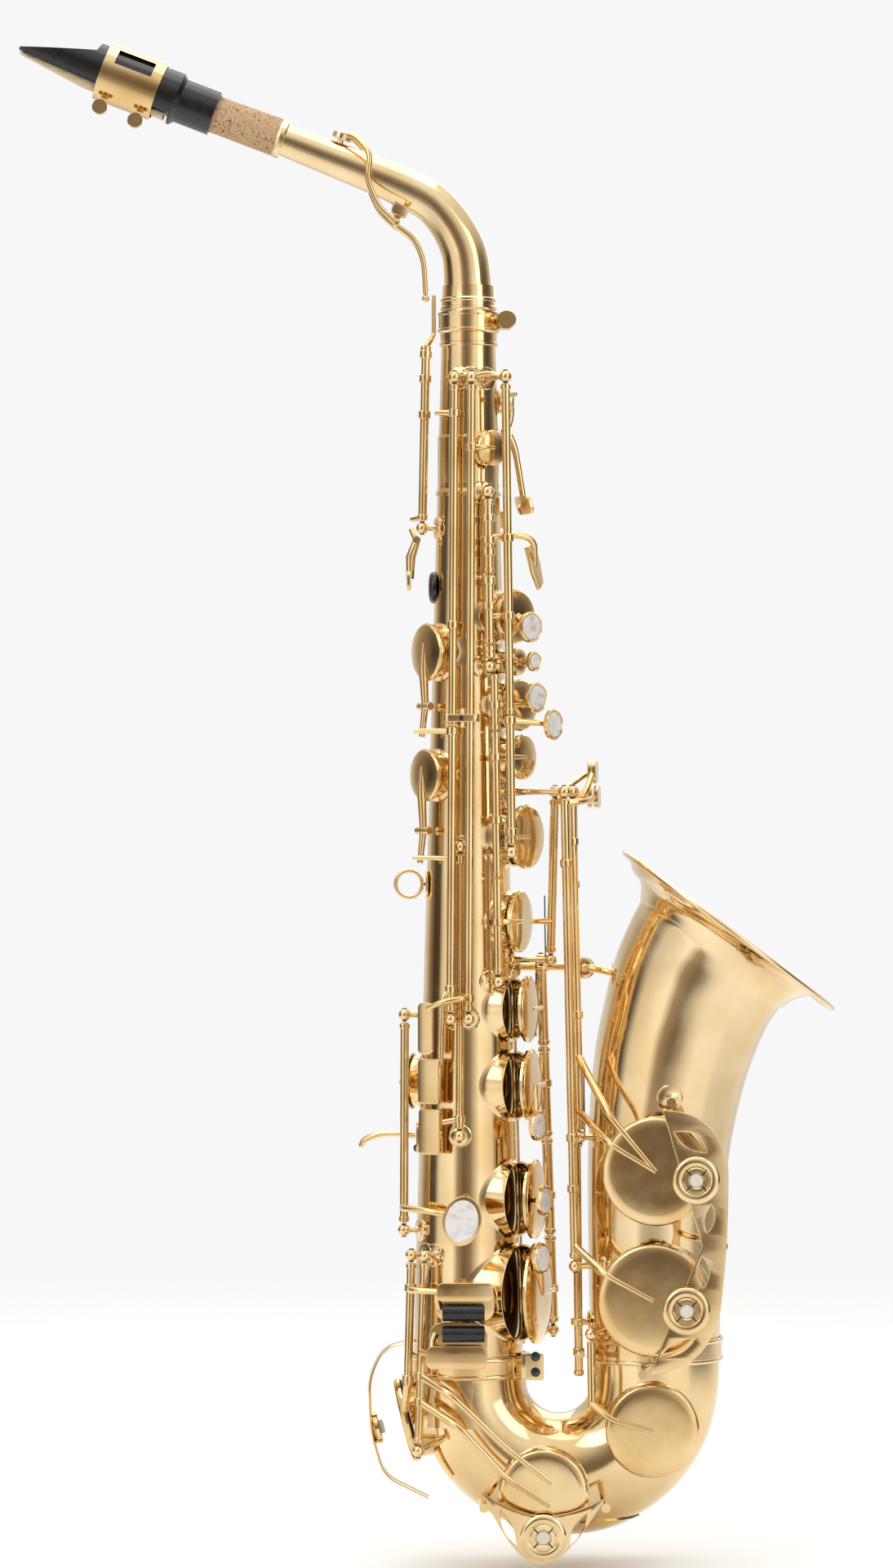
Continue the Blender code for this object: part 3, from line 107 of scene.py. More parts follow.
# Hinge lines: x, y, z at the upper and the lower end of each line
LINES = {
    "side_e": ((29.0, -19.6, 231.0), (27.7, -27.3, -58.0)),
    "side_c": ((21.2, -18.4, 231.0), (19.4, -26.3, -58.0)),
    "side_bb": ((23.9, -21.3, 14.0), (23.4, -24.6, -112.0)),
    "outer": ((44.8, -22.4, 231.0), (47.5, -26.8, 16.0)),
    "upper_stack": ((36.6, -20.0, 178.0), (37.4, -22.7, 104.0)),
    "middle_stack": ((39.6, -21.9, 97.6), (41.4, -25.2, -41.0)),
    "lower_stack": ((61.2, 6.0, -23.0), (67.3, 12.0, -205.0)),
    "low_bb": ((71.8, -24.0, 46.0), (76.7, -24.0, -172.0)),
    "low_b": ((75.3, -14.5, 46.0), (79.2, -14.5, -113.0)),
    "low_c_sharp": ((76.2, -5.0, 46.0), (79.0, -5.0, -228.0)),
    "g_sharp": ((68.0, -4.0, 46.0), (66.0, -4.0, -32.0)),
    "high_f_sharp": ((-1.9, -9.2, -64.0), (-2.2, -11.5, -156.4)),
    "low_c": ((7.4, -24.0, -174.6), (4.6, -26.0, -257.0)),
    "eb": ((1.2, -19.5, -174.6), (-0.4, -21.0, -231.0)),
    "octave": ((8.0, -6.0, 253.0), (6.3, -6.5, 169.0)),
}

# Tone holes of the stack: height, bearing about the body in degrees (0 faces the bell), cup radius
STACK_HOLES = {
    "key_b": (124.0, -30.0, 12.5), "key_bis": (103.0, -28.0, 6.5), "key_a": (83.0, -25.0, 12.0),
    "key_c_aux": (59.0, -20.0, 10.6), "key_g": (22.0, -20.0, 15.0), "key_g_sharp": (-17.0, -22.0, 14.5),
    "key_f_sharp": (-57.6, -27.0, 15.4), "key_f": (-93.0, -27.0, 17.0), "key_e": (-145.4, -27.0, 18.4),
    "key_d": (-189.0, -27.0, 23.6)}
SIDE_HOLES = {"side_e_key": (202.0, -56.0, 8.2), "side_c_cup": (107.7, -149.3, 13.4),
              "side_bb_cup": (50.7, -147.0, 12.2), "high_f_sharp_key": (-92.0, 165.0, 13.2),
              "palm_d_key": (212.0, 70.0, 8.0), "palm_eb_key": (184.0, 96.0, 8.2),
              "palm_f_key": (225.0, 20.0, 7.0)}
C_SHARP_HINGE = Vector((84.0, -30.0, -210.0)), Vector((84.4, -32.0, -240.0))
# Cups on the bell and bow that face the player's right: x, z, cup radius, height of the chimney top
LOW_HOLES = {
    "low_b_key": (116.7, -130.5, 25.0, 36.5), "low_bb_key": (114.4, -189.8, 26.0, 35.0),
    "c_sharp_cup": (112.1, -250.2, 21.6, 33.5), "low_c_key": (62.7, -279.1, 20.8, 32.0)}
EB_HOLE = (14.3, 20.0)          # bearing below the bow's centre in degrees, cup radius

BODY_POSTS = [("side_e", 234.6), ("side_e", -61.6), ("side_c", 234.6), ("side_c", -61.6),
              ("side_bb", -115.6), ("side_bb", 17.6), ("outer", 234.6), ("outer", 15.2),
              ("upper_stack", 181.6), ("upper_stack", 100.8), ("middle_stack", -44.6),
              ("lower_stack", -35.2), ("lower_stack", -208.6), ("low_bb", 43.0), ("low_b", 43.0),
              ("low_c_sharp", 43.0), ("g_sharp", 43.0), ("g_sharp", -35.2), ("high_f_sharp", -60.4),
              ("high_f_sharp", -160.0), ("low_c", -171.0), ("eb", -171.0), ("octave", 165.4)]

GUARD_FACE_Y = -53.0

LOW_C_GUARD_Y = -47.0

NECK_PIVOT = (BODY_X, 0.0, 269.0)

OCTAVE_PIVOT = (-5.1, 0.0, 311.0)

TABLE_X, TABLE_BOTTOM_Z, TABLE_STEP = 84.6, 35.6, 11.4

TABLE_BENDS = {"low_bb_key": (80.5, -19.0, 38.6), "low_b_key": (82.0, -12.4, 43.0),
               "c_sharp_lever": (78.0, 8.0, 39.6)}

# The guards' bosses, x and z: above and below the waist of the low B guard
UPPER_BOSS, LOWER_BOSS = (131.3, -134.0), (126.9, -193.6)

# Heights of the turned collars on each key's hinge tube
COLLARS = {"octave_pin_lever": (246.0, 234.7, 218.0), "stack_link_rod": (160.0, 124.0),
           "key_g": (76.0, 24.5), "key_b": (140.4, 128.6), "front_f_key": (169.3, 159.0, 153.7),
           "key_c_aux": (59.0, 30.0), "key_g_sharp": (-17.0,), "key_a": (83.0,), "low_b_key": (20.0, -60.0),
           "low_bb_key": (10.0, -116.4, -140.0), "c_sharp_lever": (0.0, -120.0, -217.0),
           "side_e_key": (202.0, -52.0), "side_c_lever": (71.0, -48.0), "side_bb_lever": (12.0, -108.0),
           "key_f": (-93.0,), "key_e": (-145.4,), "key_d": (-189.0,), "low_c_key": (-226.0, -238.0),
           "eb_key": (-186.0, -228.0), "body_vent_key": (218.0, 120.0)}

# ---------------------------------------------------------------- places on the body

def body_radius(z):
    fall = (TAPER_TOP_Z - z) / (TAPER_TOP_Z - TAPER_BOTTOM_Z)
    return BODY_TOP_R + max(0.0, fall) * (BODY_BOTTOM_R - BODY_TOP_R)

def bearing(angle):
    return Vector((cos(radians(angle)), sin(radians(angle)), 0.0))

def around(angle, z, radius):
    """A point at a bearing and a distance from the body's axis."""
    return Vector((BODY_X, 0.0, z)) + bearing(angle) * radius

def on_line(name, z):
    top, bottom = (Vector(end) for end in LINES[name])
    return top.lerp(bottom, (top.z - z) / (top.z - bottom.z))

def line_axis(name):
    top, bottom = (Vector(end) for end in LINES[name])
    return (top - bottom).normalized()

def facing(centre, direction):
    """A matrix that puts local Z along a direction, at a centre."""
    turn = Vector(direction).normalized().to_track_quat("Z", "Y")
    return Matrix.Translation(Vector(centre)) @ turn.to_matrix().to_4x4()


def arc(centre, radius, start, end, steps):
    """Points on an arc of a circle, from a start to an end angle in degrees."""
    angles = [radians(start + (end - start) * i / steps) for i in range(steps + 1)]
    return [(centre[0] + radius * cos(a), centre[1] + radius * sin(a)) for a in angles]

# ---------------------------------------------------------------- curves

def rounded(points, reach=4.0, steps=5):
    """The same path with its corners turned into short bends."""
    points = [Vector(p) for p in points]
    made = [points[0]]
    for before, corner, after in zip(points, points[1:], points[2:]):
        a = corner + (before - corner).normalized() * min(reach, (before - corner).length * 0.45)
        b = corner + (after - corner).normalized() * min(reach, (after - corner).length * 0.45)
        for i in range(steps + 1):
            t = i / steps
            made.append(a * (1 - t) ** 2 + corner * 2 * t * (1 - t) + b * t ** 2)
    return [*made, points[-1]]


def smooth(rows, steps=6):
    """A smooth curve through rows of numbers."""
    rows = [Vector(r) for r in rows]
    padded = [rows[0] * 2 - rows[1], *rows, rows[-1] * 2 - rows[-2]]
    made = []
    for p0, p1, p2, p3 in zip(padded, padded[1:], padded[2:], padded[3:]):
        for i in range(steps):
            t = i / steps
            made.append(0.5 * (2 * p1 + (p2 - p0) * t + (2 * p0 - 5 * p1 + 4 * p2 - p3) * t ** 2
                               + (3 * p1 - p0 - 3 * p2 + p3) * t ** 3))
    return [*made, rows[-1]]


def ring_angles(count):
    return [2 * pi * i / count for i in range(count)]


# ---------------------------------------------------------------- simple shapes

def shape_from(verts, faces, matrix=None):
    bm = bmesh.new()
    made = [bm.verts.new(v) for v in verts]
    for face in faces:
        bm.faces.new([made[i] for i in face])
    bmesh.ops.recalc_face_normals(bm, faces=bm.faces)
    if matrix is not None:
        bmesh.ops.transform(bm, matrix=matrix, verts=bm.verts)
    mesh = bpy.data.meshes.new("shape")
    bm.to_mesh(mesh)
    bm.free()
    return [mesh, None]


def painted(shapes, slot):
    """The same shapes in another material slot."""
    for shape in flat_list(shapes):
        shape[1] = slot
    return shapes


def flat_list(items):
    made = []
    for item in items:
        if isinstance(item, list) and len(item) == 2 and isinstance(item[0], bpy.types.Mesh):
            made.append(item)
        elif isinstance(item, (list, tuple)):
            made.extend(flat_list(item))
    return made


def turned(profile, base=(0, 0, 0), direction=(0, 0, 1)):
    """A profile of (radius, height) pairs turned about an axis."""
    widest = max(r for r, _ in profile)
    count = 96 if widest > 40 else 64 if widest > 11 else 36 if widest > 4 else 20
    verts, rings = [], []
    for r, h in profile:
        if r < 1e-6:
            rings.append([len(verts)])
            verts.append((0.0, 0.0, h))
        else:
            rings.append(list(range(len(verts), len(verts) + count)))
            verts += [(r * cos(a), r * sin(a), h) for a in ring_angles(count)]
    pairs = list(zip(rings, rings[1:]))
    if profile[0][0] > 0:
        pairs.append((rings[-1], rings[0]))
    faces = []
    for a, b in pairs:
        for i in range(count):
            j = (i + 1) % count
            if len(a) == 1 and len(b) == 1:
                break
            if len(a) == 1:
                faces.append((a[0], b[i], b[j]))
            elif len(b) == 1:
                faces.append((a[i], b[0], a[j]))
            else:
                faces.append((a[i], b[i], b[j], a[j]))
    return shape_from(verts, faces, facing(base, direction))


def cylinder(start, end, radius, end_radius=None):
    start, end = Vector(start), Vector(end)
    top = radius if end_radius is None else end_radius
    length = (end - start).length
    edge = min(0.25, radius * 0.2, length * 0.2)
    profile = [(0.0, length), (top - edge, length), (top, length - edge), (radius, edge),
               (radius - edge, 0.0), (0.0, 0.0)]
    return turned(profile, start, end - start)


def ball(centre, radius):
    profile = [(radius * sin(pi * i / 14), radius * cos(pi * i / 14)) for i in range(15)]
    profile[0], profile[-1] = (0.0, radius), (0.0, -radius)
    return turned(profile, centre)


def frames_along(points):
    """The tangent and a steady sideways direction at each point of a path."""
    points = [Vector(p) for p in points]
    ahead = [(points[min(i + 1, len(points) - 1)] - points[max(i - 1, 0)]).normalized()
             for i in range(len(points))]
    side = Vector((0, 1, 0)) if abs(ahead[0].y) < 0.8 else Vector((0, 0, 1))
    made = []
    for way in ahead:
        side = (side - way * side.dot(way)).normalized()
        made.append((way, side, way.cross(side)))
    return points, made


def swept(points, radii, wall=0.0, flatten=1.0, count=0):
    """A bar or, with a wall, a tube through points."""
    points, frames = frames_along(points)
    radii = [radii] * len(points) if isinstance(radii, (int, float)) else list(radii)
    count = count or (96 if max(radii) > 20 else 64 if max(radii) > 6 else 14)
    verts, rings = [], []
    for inset in ((0.0, wall) if wall else (0.0,)):
        for point, radius, (_, side, up) in zip(points, radii, frames):
            rings.append(list(range(len(verts), len(verts) + count)))
            verts += [point + (side * cos(a) + up * sin(a) * flatten) * (radius - inset)
                      for a in ring_angles(count)]
    total = len(points)
    faces = []
    runs = [rings[:total]] + ([rings[total:]] if wall else [])
    for run in runs:
        for a, b in zip(run, run[1:]):
            faces += [(a[i], b[i], b[(i + 1) % count], a[(i + 1) % count]) for i in range(count)]
    if wall:
        for a, b in ((rings[0], rings[total]), (rings[total - 1], rings[-1])):
            faces += [(a[i], b[i], b[(i + 1) % count], a[(i + 1) % count]) for i in range(count)]
    else:
        faces += [tuple(rings[0]), tuple(rings[-1])]
    return shape_from(verts, faces)


def flat_plate(outline, thickness, centre, direction, spin=0.0, holes=(), edge=0.35):
    """A filled outline of (x, y) pairs with rounded edges and a thickness along local Z."""
    edge = min(edge, thickness * 0.3)
    curve = bpy.data.curves.new("outline", "CURVE")
    curve.dimensions = "2D"
    curve.fill_mode = "BOTH"
    curve.extrude = thickness / 2 - edge
    curve.bevel_depth = edge
    curve.bevel_resolution = 2
    curve.offset = -edge
    for points in (outline, *holes):
        spline = curve.splines.new("POLY")
        spline.points.add(len(points) - 1)
        for control, (x, y) in zip(spline.points, points):
            control.co = (x, y, 0.0, 1.0)
        spline.use_cyclic_u = True
    item = bpy.data.objects.new("outline", curve)
    bpy.context.scene.collection.objects.link(item)
    bpy.context.view_layer.update()
    graph = bpy.context.evaluated_depsgraph_get()
    mesh = bpy.data.meshes.new_from_object(item.evaluated_get(graph), depsgraph=graph)
    bpy.data.objects.remove(item, do_unlink=True)
    bm = bmesh.new()
    bm.from_mesh(mesh)
    bmesh.ops.remove_doubles(bm, verts=bm.verts, dist=0.001)
    bmesh.ops.recalc_face_normals(bm, faces=bm.faces)
    bmesh.ops.transform(bm, matrix=facing(centre, direction) @ Matrix.Rotation(radians(spin), 4, "Z"),
                        verts=bm.verts)
    bm.to_mesh(mesh)
    bm.free()
    return [mesh, None]


def rounded_box(width, height, corner):
    """The outline of a rectangle with round corners."""
    made = []
    for cx, cy, start in ((1, 1, 0), (-1, 1, 90), (-1, -1, 180), (1, -1, 270)):
        centre = (cx * (width / 2 - corner), cy * (height / 2 - corner))
        made += arc(centre, corner, start, start + 90, 6)
    return made


def block(centre, size, direction=(0, 0, 1), spin=0.0):
    """A plate or small block whose local Z points along a direction, with round corners."""
    width, height, thickness = size
    corner = min(width, height) * (0.32 if thickness < 3 else 0.15)
    return flat_plate(rounded_box(width, height, corner), thickness, centre, direction, spin)


# ---------------------------------------------------------------- putting shapes together

def one_mesh(name, meshes):
    bm = bmesh.new()
    for mesh in meshes:
        bm.from_mesh(mesh)
    mesh = bpy.data.meshes.new(name)
    bm.to_mesh(mesh)
    bm.free()
    return mesh


def cut_away(mesh, cuts):
    """The mesh less the cutters."""
    group = bpy.data.collections.new("cutters")
    bpy.context.scene.collection.children.link(group)
    base = bpy.data.objects.new("base", mesh)
    bpy.context.scene.collection.objects.link(base)
    for cutter, _ in flat_list(cuts):
        group.objects.link(bpy.data.objects.new("cutter", cutter))
    cut = base.modifiers.new("cut", "BOOLEAN")
    cut.operation = "DIFFERENCE"
    cut.operand_type = "COLLECTION"
    cut.collection = group
    cut.solver = "EXACT"
    bpy.context.view_layer.update()
    graph = bpy.context.evaluated_depsgraph_get()
    made = bpy.data.meshes.new_from_object(base.evaluated_get(graph), depsgraph=graph)
    for item in [*group.objects, base]:
        bpy.data.objects.remove(item, do_unlink=True)
    bpy.data.collections.remove(group)
    return made


def solid(name, material, shapes, cuts=(), origin=(0, 0, 0), turn=None):
    """The shown pieces of one CAD node: one object for each material slot, all riding on the node's body."""
    by_slot = {}
    for mesh, slot in flat_list(shapes):
        by_slot.setdefault(slot or material, []).append(mesh)
    made = []
    for slot, meshes in by_slot.items():
        mesh = one_mesh(name, meshes)
        if cuts and slot == material:
            mesh = cut_away(mesh, cuts)
        mesh.transform(Matrix.Scale(MM, 4) @ Matrix.Translation(-Vector(origin)))
        label = "fine_" + name + ("" if slot == material else "_" + slot)
        piece = bpy.data.objects.new(label, mesh)
        bpy.context.scene.collection.objects.link(piece)
        piece.location = Vector(origin) * MM
        if turn is not None:
            piece.rotation_mode = "QUATERNION"
            piece.rotation_quaternion = turn
        mesh.materials.clear()
        mesh.materials.append(MATERIALS[slot])
        mesh.shade_smooth()
        mesh.set_sharp_from_angle(angle=radians(38))
        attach(piece, BODY_OF[name])
        if slot == material:
            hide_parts(name)
        made.append(piece)
    return made


def hinged(name, shapes, origin, axis, opened=0.0, material="key_brass", cuts=()):
    """A sub-part that turns about an axis through its origin, held open by an angle in degrees."""
    return solid(name, material, shapes, cuts, origin, Quaternion(Vector(axis).normalized(), radians(opened)))


# ---------------------------------------------------------------- shapes that repeat on the key work

def collar(line, z, radius, height=2.2):
    """A turned collar round a hinge tube."""
    half = height / 2
    profile = [(radius, half - 0.3), (radius, 0.3 - half), (radius - 0.3, -half), (1.0, -half), (1.0, half),
               (radius - 0.3, half)]
    return turned(profile, on_line(line, z), line_axis(line))


def key_on_line(name, line, z_top, z_bottom, shapes, opened=0.0, rod_r=ROD_R):
    """A key whose hinge tube lies on a named line, with turned ends and collars where its arms start."""
    top, bottom = on_line(line, z_top), on_line(line, z_bottom)
    tube = cylinder(bottom, top, rod_r)
    trim = [collar(line, z_top - 1.6, rod_r + 0.45), collar(line, z_bottom + 1.6, rod_r + 0.45)]
    for z in COLLARS.get(name, ()):
        trim.append(collar(line, z, rod_r + 0.8, 3.6))
    return hinged(name, [tube, trim, *shapes], top, line_axis(line), opened)


def cup(seat, direction, radius):
    """A domed pad cup with a stepped rim, its leather pad and the dome resonator on the pad. The pad is near
    black: partly dark leather, partly painted shade for the gap under the cup's skirt.
    """
    base = Vector(seat) + Vector(direction).normalized() * GAP
    shell = [(0.0, CUP_H)]
    flat = Vector(direction).y < -0.99 or Vector(direction).z < -0.2
    for i in range(1, 8):
        t = i / 7
        shell.append((radius * 0.93 * t, CUP_H - (0.3 * t ** 6 if flat else 1.25 * t ** 3.2)))
    shell += [(radius * 0.965, CUP_H - 0.7), (radius * 0.985,
                                              CUP_H - 1.2)] if flat else [(radius * 0.95, CUP_H - 1.7)]
    shell += [ (radius - 0.25, CUP_H - 1.9), (radius, CUP_H - 2.2), (radius, 0.9),
              (radius - 0.8, 0.7), (radius - 0.8, 1.5), (0.0, 1.5)]
    # The pad's near-black colour is partly dark leather and partly painted shade: its edge is what shows in
    # the gap between the tone hole and the cup's skirt.
    pad_r = radius - 0.85
    pad = [(0.0, 1.6), (pad_r, 1.6), (pad_r, 0.7), (pad_r - 0.25, 0.2), (pad_r - 0.8, 0.0),
           (radius * 0.5, 0.1), (0.0, 0.1)]
    dome = [(0.0, 0.2), (radius * 0.42, 0.2), (radius * 0.42, -0.15), (radius * 0.36, -0.4),
            (radius * 0.15, -0.7), (0.0, -0.75)]
    return [turned(shell, base, direction), painted([turned(pad, base, direction)], "pad_leather"),
            turned(dome, base, direction)]


def pearl_holder(centre, direction, radius=7.2):
    """A finger pearl set in a turned brass rim."""
    base = Vector(centre) - Vector(direction).normalized() * 2.4
    rim = [(0.0, 1.3), (radius - 1.3, 1.3), (radius - 1.15, 2.15), (radius - 0.6, 2.45), (radius, 1.9),
           (radius, 0.4), (radius - 0.6, -0.1), (radius * 0.5, -0.5), (0.0, -0.6)]
    nacre = [(0.0, 2.2), (radius * 0.4, 2.2), (radius - 2.2, 2.5), (radius - 1.4, 2.2), (radius - 1.25, 1.2),
             (0.0, 1.2)]
    return [turned(rim, base, direction), painted([turned(nacre, base, direction)], "pearl")]


def arm(points, radius=ARM_R):
    path = rounded(points, 5.0)
    last = len(path) - 1
    radii = [radius * (1.22 - 0.3 * i / last) for i in range(last + 1)]
    return swept(path, radii)


def raised_pearl(name, centre, angle, radius=7.2):
    """A finger pearl's holder with a stalk down to the key's cup."""
    z, cup_angle, _ = STACK_HOLES[name]
    top = body_radius(z) + CHIMNEY_H + GAP + CUP_H - 1.0
    root = around(cup_angle, z, top)
    return [pearl_holder(centre, bearing(angle), radius),
            arm([root, Vector(centre) - bearing(angle) * 2.2], 1.6)]


def needle(start, end):
    return painted([swept([start, end], 0.32, count=8)], "blue_steel")


def foot_disc(place, direction, radius=5.4):
    """The round foot that a post is soldered on with."""
    profile = [(0.0, 1.5), (2.0, 1.4), (2.6, 0.9), (radius - 0.5, 0.75), (radius, 0.3), (radius, -0.6),
               (0.0, -0.6)]
    return turned(profile, place, direction)


def post(line, z, depth=0.8):
    """A ball post on the body tube, with its round foot and the end of its pivot screw."""
    centre = on_line(line, z)
    outward = Vector((centre.x - BODY_X, centre.y, 0.0)).normalized()
    foot = Vector((BODY_X, 0.0, z)) + outward * (body_radius(z) - depth)
    axis = line_axis(line)
    reach = (centre - foot).length
    stem = [(0.0, reach), (1.3, reach), (1.2, reach * 0.6), (1.5, reach * 0.3), (2.4, 0.8), (2.4, 0.0),
            (0.0, 0.0)]
    shapes = [turned(stem, foot, centre - foot), ball(centre, POST_BALL_R),
              foot_disc(foot + outward * depth, outward)]
    shapes += painted([cylinder(centre - axis * 3.15, centre + axis * 3.15, 1.15)], "blue_steel")
    return shapes

def stack_cup(name):
    z, angle, radius = {**STACK_HOLES, **SIDE_HOLES}[name]
    return cup(around(angle, z, body_radius(z) + CHIMNEY_H), bearing(angle), radius)

def stack_arm(name, line, z_arm=None):
    """An arm from a hinge line, up over the cup's edge, to the middle of its back."""
    z, angle, radius = {**STACK_HOLES, **SIDE_HOLES}[name]
    start = on_line(line, z if z_arm is None else z_arm)
    top = body_radius(z) + CHIMNEY_H + GAP + CUP_H - 0.9
    middle = around(angle, z, top)
    edge = middle + (start - middle).normalized() * (radius - 0.6)
    edge -= bearing(angle) * (edge - middle).dot(bearing(angle))
    return arm([start, edge, middle])

def bow_sections():
    count = 9
    sections = [(BOW_CENTRE_X - BOW_BEND_R, BODY_BOTTOM_Z - 0.4, BOW_START_R)]
    for i in range(count + 1):
        turn = pi * i / count
        radius = BOW_START_R + (BOW_END_R - BOW_START_R) * i / count
        sections.append((BOW_CENTRE_X - BOW_BEND_R * cos(turn), BOW_CENTRE_Z - BOW_BEND_R * sin(turn),
                         radius))
    sections.append((BOW_CENTRE_X + BOW_BEND_R, BELL_BOTTOM_Z - 0.4, BOW_END_R + 0.1))
    return sections

def body_sections():
    return [(BODY_X, BODY_TOP_Z, BODY_TOP_R - 0.4), (BODY_X, TAPER_TOP_Z, BODY_TOP_R - 0.1),
            (BODY_X, TAPER_BOTTOM_Z, BODY_BOTTOM_R), (BODY_X, BODY_BOTTOM_Z, BODY_BOTTOM_R + 0.1)]

def eb_seat():
    """The low E flat tone hole at the back of the bow: its seat, its direction and its cup radius."""
    below, radius = EB_HOLE
    way = Vector((-cos(radians(below)), 0.0, -sin(radians(below))))
    surface = Vector((BOW_CENTRE_X, 0.0, BOW_CENTRE_Z)) + way * (BOW_BEND_R + BOW_START_R)
    return surface + way * CHIMNEY_H, way, radius

def bumper_place(name):
    """The middle of a felt bumper, the way it faces away from its cup, and its radius."""
    if name == "eb":
        seat, way, _ = eb_seat()
        return seat + way * 16.4, way, 3.2
    x, z, y = {"low_b": (*UPPER_BOSS, GUARD_FACE_Y), "low_bb": (*LOWER_BOSS, GUARD_FACE_Y),
               "low_c": (61.7, -297.6, LOW_C_GUARD_Y)}[name]
    return Vector((x, y, z)), Vector((0.0, -1.0, 0.0)), 3.3

# ---------------------------------------------------------------- tubes

def tube_shell(sections, wall=1.0, steps=6):
    rows = smooth([(x, z, r) for x, z, r in sections], steps)
    return swept([(row.x, 0.0, row.y) for row in rows], [row.z for row in rows], wall=wall)


def drawn_chimney(place, radius, top, height_at, across, up, way):
    """A tone hole's wall, drawn out of the tube: its foot follows the tube's own surface."""
    rings = [(radius + 1.6, -0.1, None), (radius + 0.5, 0.35, None), (radius, 1.1, None),
             (radius, None, top - 0.35), (radius + 0.25, None, top - 0.15), (radius + 0.1, None, top),
             (radius - 0.75, None, top), (radius - 0.9, None, top - 0.3), (radius - 0.9, 0.1, None)]
    angles = ring_angles(56)
    verts, faces = [], []
    for ring_r, lift, level in rings:
        for a in angles:
            s, t = ring_r * cos(a), ring_r * sin(a)
            surface = height_at(s, t)
            height = level if level is not None else min(surface + lift, top - 0.4)
            verts.append(Vector(place) + across * s + up * t + way * height)
    count = len(angles)
    for k in range(len(rings) - 1):
        faces += [(k * count + i, (k + 1) * count + i, (k + 1) * count + (i + 1) % count,
                   k * count + (i + 1) % count) for i in range(count)]
    return shape_from(verts, faces)


def body_chimney(z, angle, cup_radius):
    radius = cup_radius - CUP_OVERHANG
    way = bearing(angle)
    across = Vector((-way.y, way.x, 0.0))

    def height_at(s, t):
        tube = body_radius(z + t)
        return sqrt(max(tube ** 2 - s ** 2, 4.0))

    return drawn_chimney((BODY_X, 0.0, z), radius, body_radius(z) + CHIMNEY_H, height_at, across,
                         Vector((0, 0, 1)), way)


def right_chimney(name, sections):
    """A tone hole that faces the player's right, on the bell or the bow."""
    x, z, cup_radius, height = LOW_HOLES[name]
    rows = smooth([(a, b, c) for a, b, c in sections], 6)

    def height_at(s, t):
        here = Vector((x + s, z + t))
        near = min(rows, key=lambda row: (Vector((row.x, row.y)) - here).length)
        gap = min((Vector((row.x, row.y)) - here).length for row in rows)
        return sqrt(max(near.z ** 2 - gap ** 2, 16.0))

    return drawn_chimney((x, 0.0, z), cup_radius - CUP_OVERHANG, height, height_at, Vector((1, 0, 0)),
                         Vector((0, 0, 1)), Vector((0, -1, 0)))


def make_body_tube():
    shapes = [tube_shell(body_sections(), 1.0, 4)]
    for z, angle, radius in [*STACK_HOLES.values(), *SIDE_HOLES.values()]:
        shapes.append(body_chimney(z, angle, radius))
    for line, z in BODY_POSTS:
        shapes.append(post(line, z))
    # Receiver: a stepped collar, a split clamp with two lugs, and the flare that joins the tube
    receiver = [(14.4, 265.6), (14.4, 264.6), (14.0, 264.2), (14.0, 258.2), (14.4, 257.8), (14.4, 257.0),
                (13.2, 256.0), (13.2, 252.0), (13.6, 251.6), (13.6, 250.4), (13.2, 250.0), (12.4, 250.0),
                (12.4, 265.6)]
    shapes.append(turned(receiver, (BODY_X, 0, 0)))
    ferrule = [(13.9, 208.6), (14.35, 207.8), (14.4, 206.6), (14.4, 184.0), (14.75, 183.0), (15.3, 181.6),
               (15.3, 180.6), (14.0, 180.2), (13.2, 208.6)]
    shapes.append(turned(ferrule, (BODY_X, 0, 0)))
    for side in (-1, 1):
        shapes.append(block((BODY_X + 16.4, 2.3 * side, 261.5), (6.5, 2.6, 7.0)))
    # Ribs that the posts of the stacks stand on
    for angle, low, high in ((-47.0, 103.0, 186.0), (-62.0, -50.0, 16.0), (8.0, -214.0, -30.0)):
        radius = lambda z: body_radius(z) + 0.35
        path = [around(angle, low + (high - low) * i / 12, radius(low + (high - low) * i / 12))
                for i in range(13)]
        shapes.append(swept(path, 2.4, flatten=0.35))
    # Brackets between the tops of the long rods
    for left, right, z in (("side_c", "side_e", 234.6), ("side_e", "outer", 234.6)):
        a, b = on_line(left, z), on_line(right, z)
        shapes.append(swept(rounded([a, (a + b) / 2 + Vector((0, 1.2, 2.0)), b], 6.0), 1.2))
    # Needle springs, each from a post to the key beside it
    for line, z, run in (("middle_stack", -44.6, 38.0), ("upper_stack", 181.6, -34.0), ("outer", 15.2, 40.0),
                         ("lower_stack", -35.2, -36.0), ("side_bb", -115.6, 34.0), ("side_e", -61.6, 36.0),
                         ("lower_stack", -208.6, 34.0), ("g_sharp", -35.2, 30.0)):
        start = on_line(line, z)
        inward = (Vector((BODY_X, 0, z)) - start).normalized()
        shapes.append(needle(start + inward * 2.4, on_line(line, z + run) + inward * 3.6))
    solid("body_tube", "lacquered_brass", shapes)


def make_bow():
    shapes = [tube_shell(bow_sections(), 1.0, 5)]
    for name in ("low_c_key", "c_sharp_cup"):
        shapes.append(right_chimney(name, bow_sections()))
    seat, way, radius = eb_seat()
    hole_r = radius - CUP_OVERHANG
    wall = [(hole_r - 0.8, 0.0), (hole_r, 0.0), (hole_r + 0.2, -0.3), (hole_r, -0.6), (hole_r, -16.0),
            (hole_r - 0.8, -16.0)]
    shapes.append(turned(wall, seat, way))
    foot = on_line("low_c", -260.6)
    shapes.append(cylinder((17.0, -13.0, -256.0), foot, 2.2, 1.3))
    shapes.append(ball(foot, POST_BALL_R))
    shapes += painted([cylinder(foot - line_axis("low_c") * 3.1, foot, 1.15)], "blue_steel")
    # Protector patch on the outer bend
    shapes += patch_on_bow(252.0, 300.0, 26.0)
    solid("bow", "lacquered_brass", shapes)


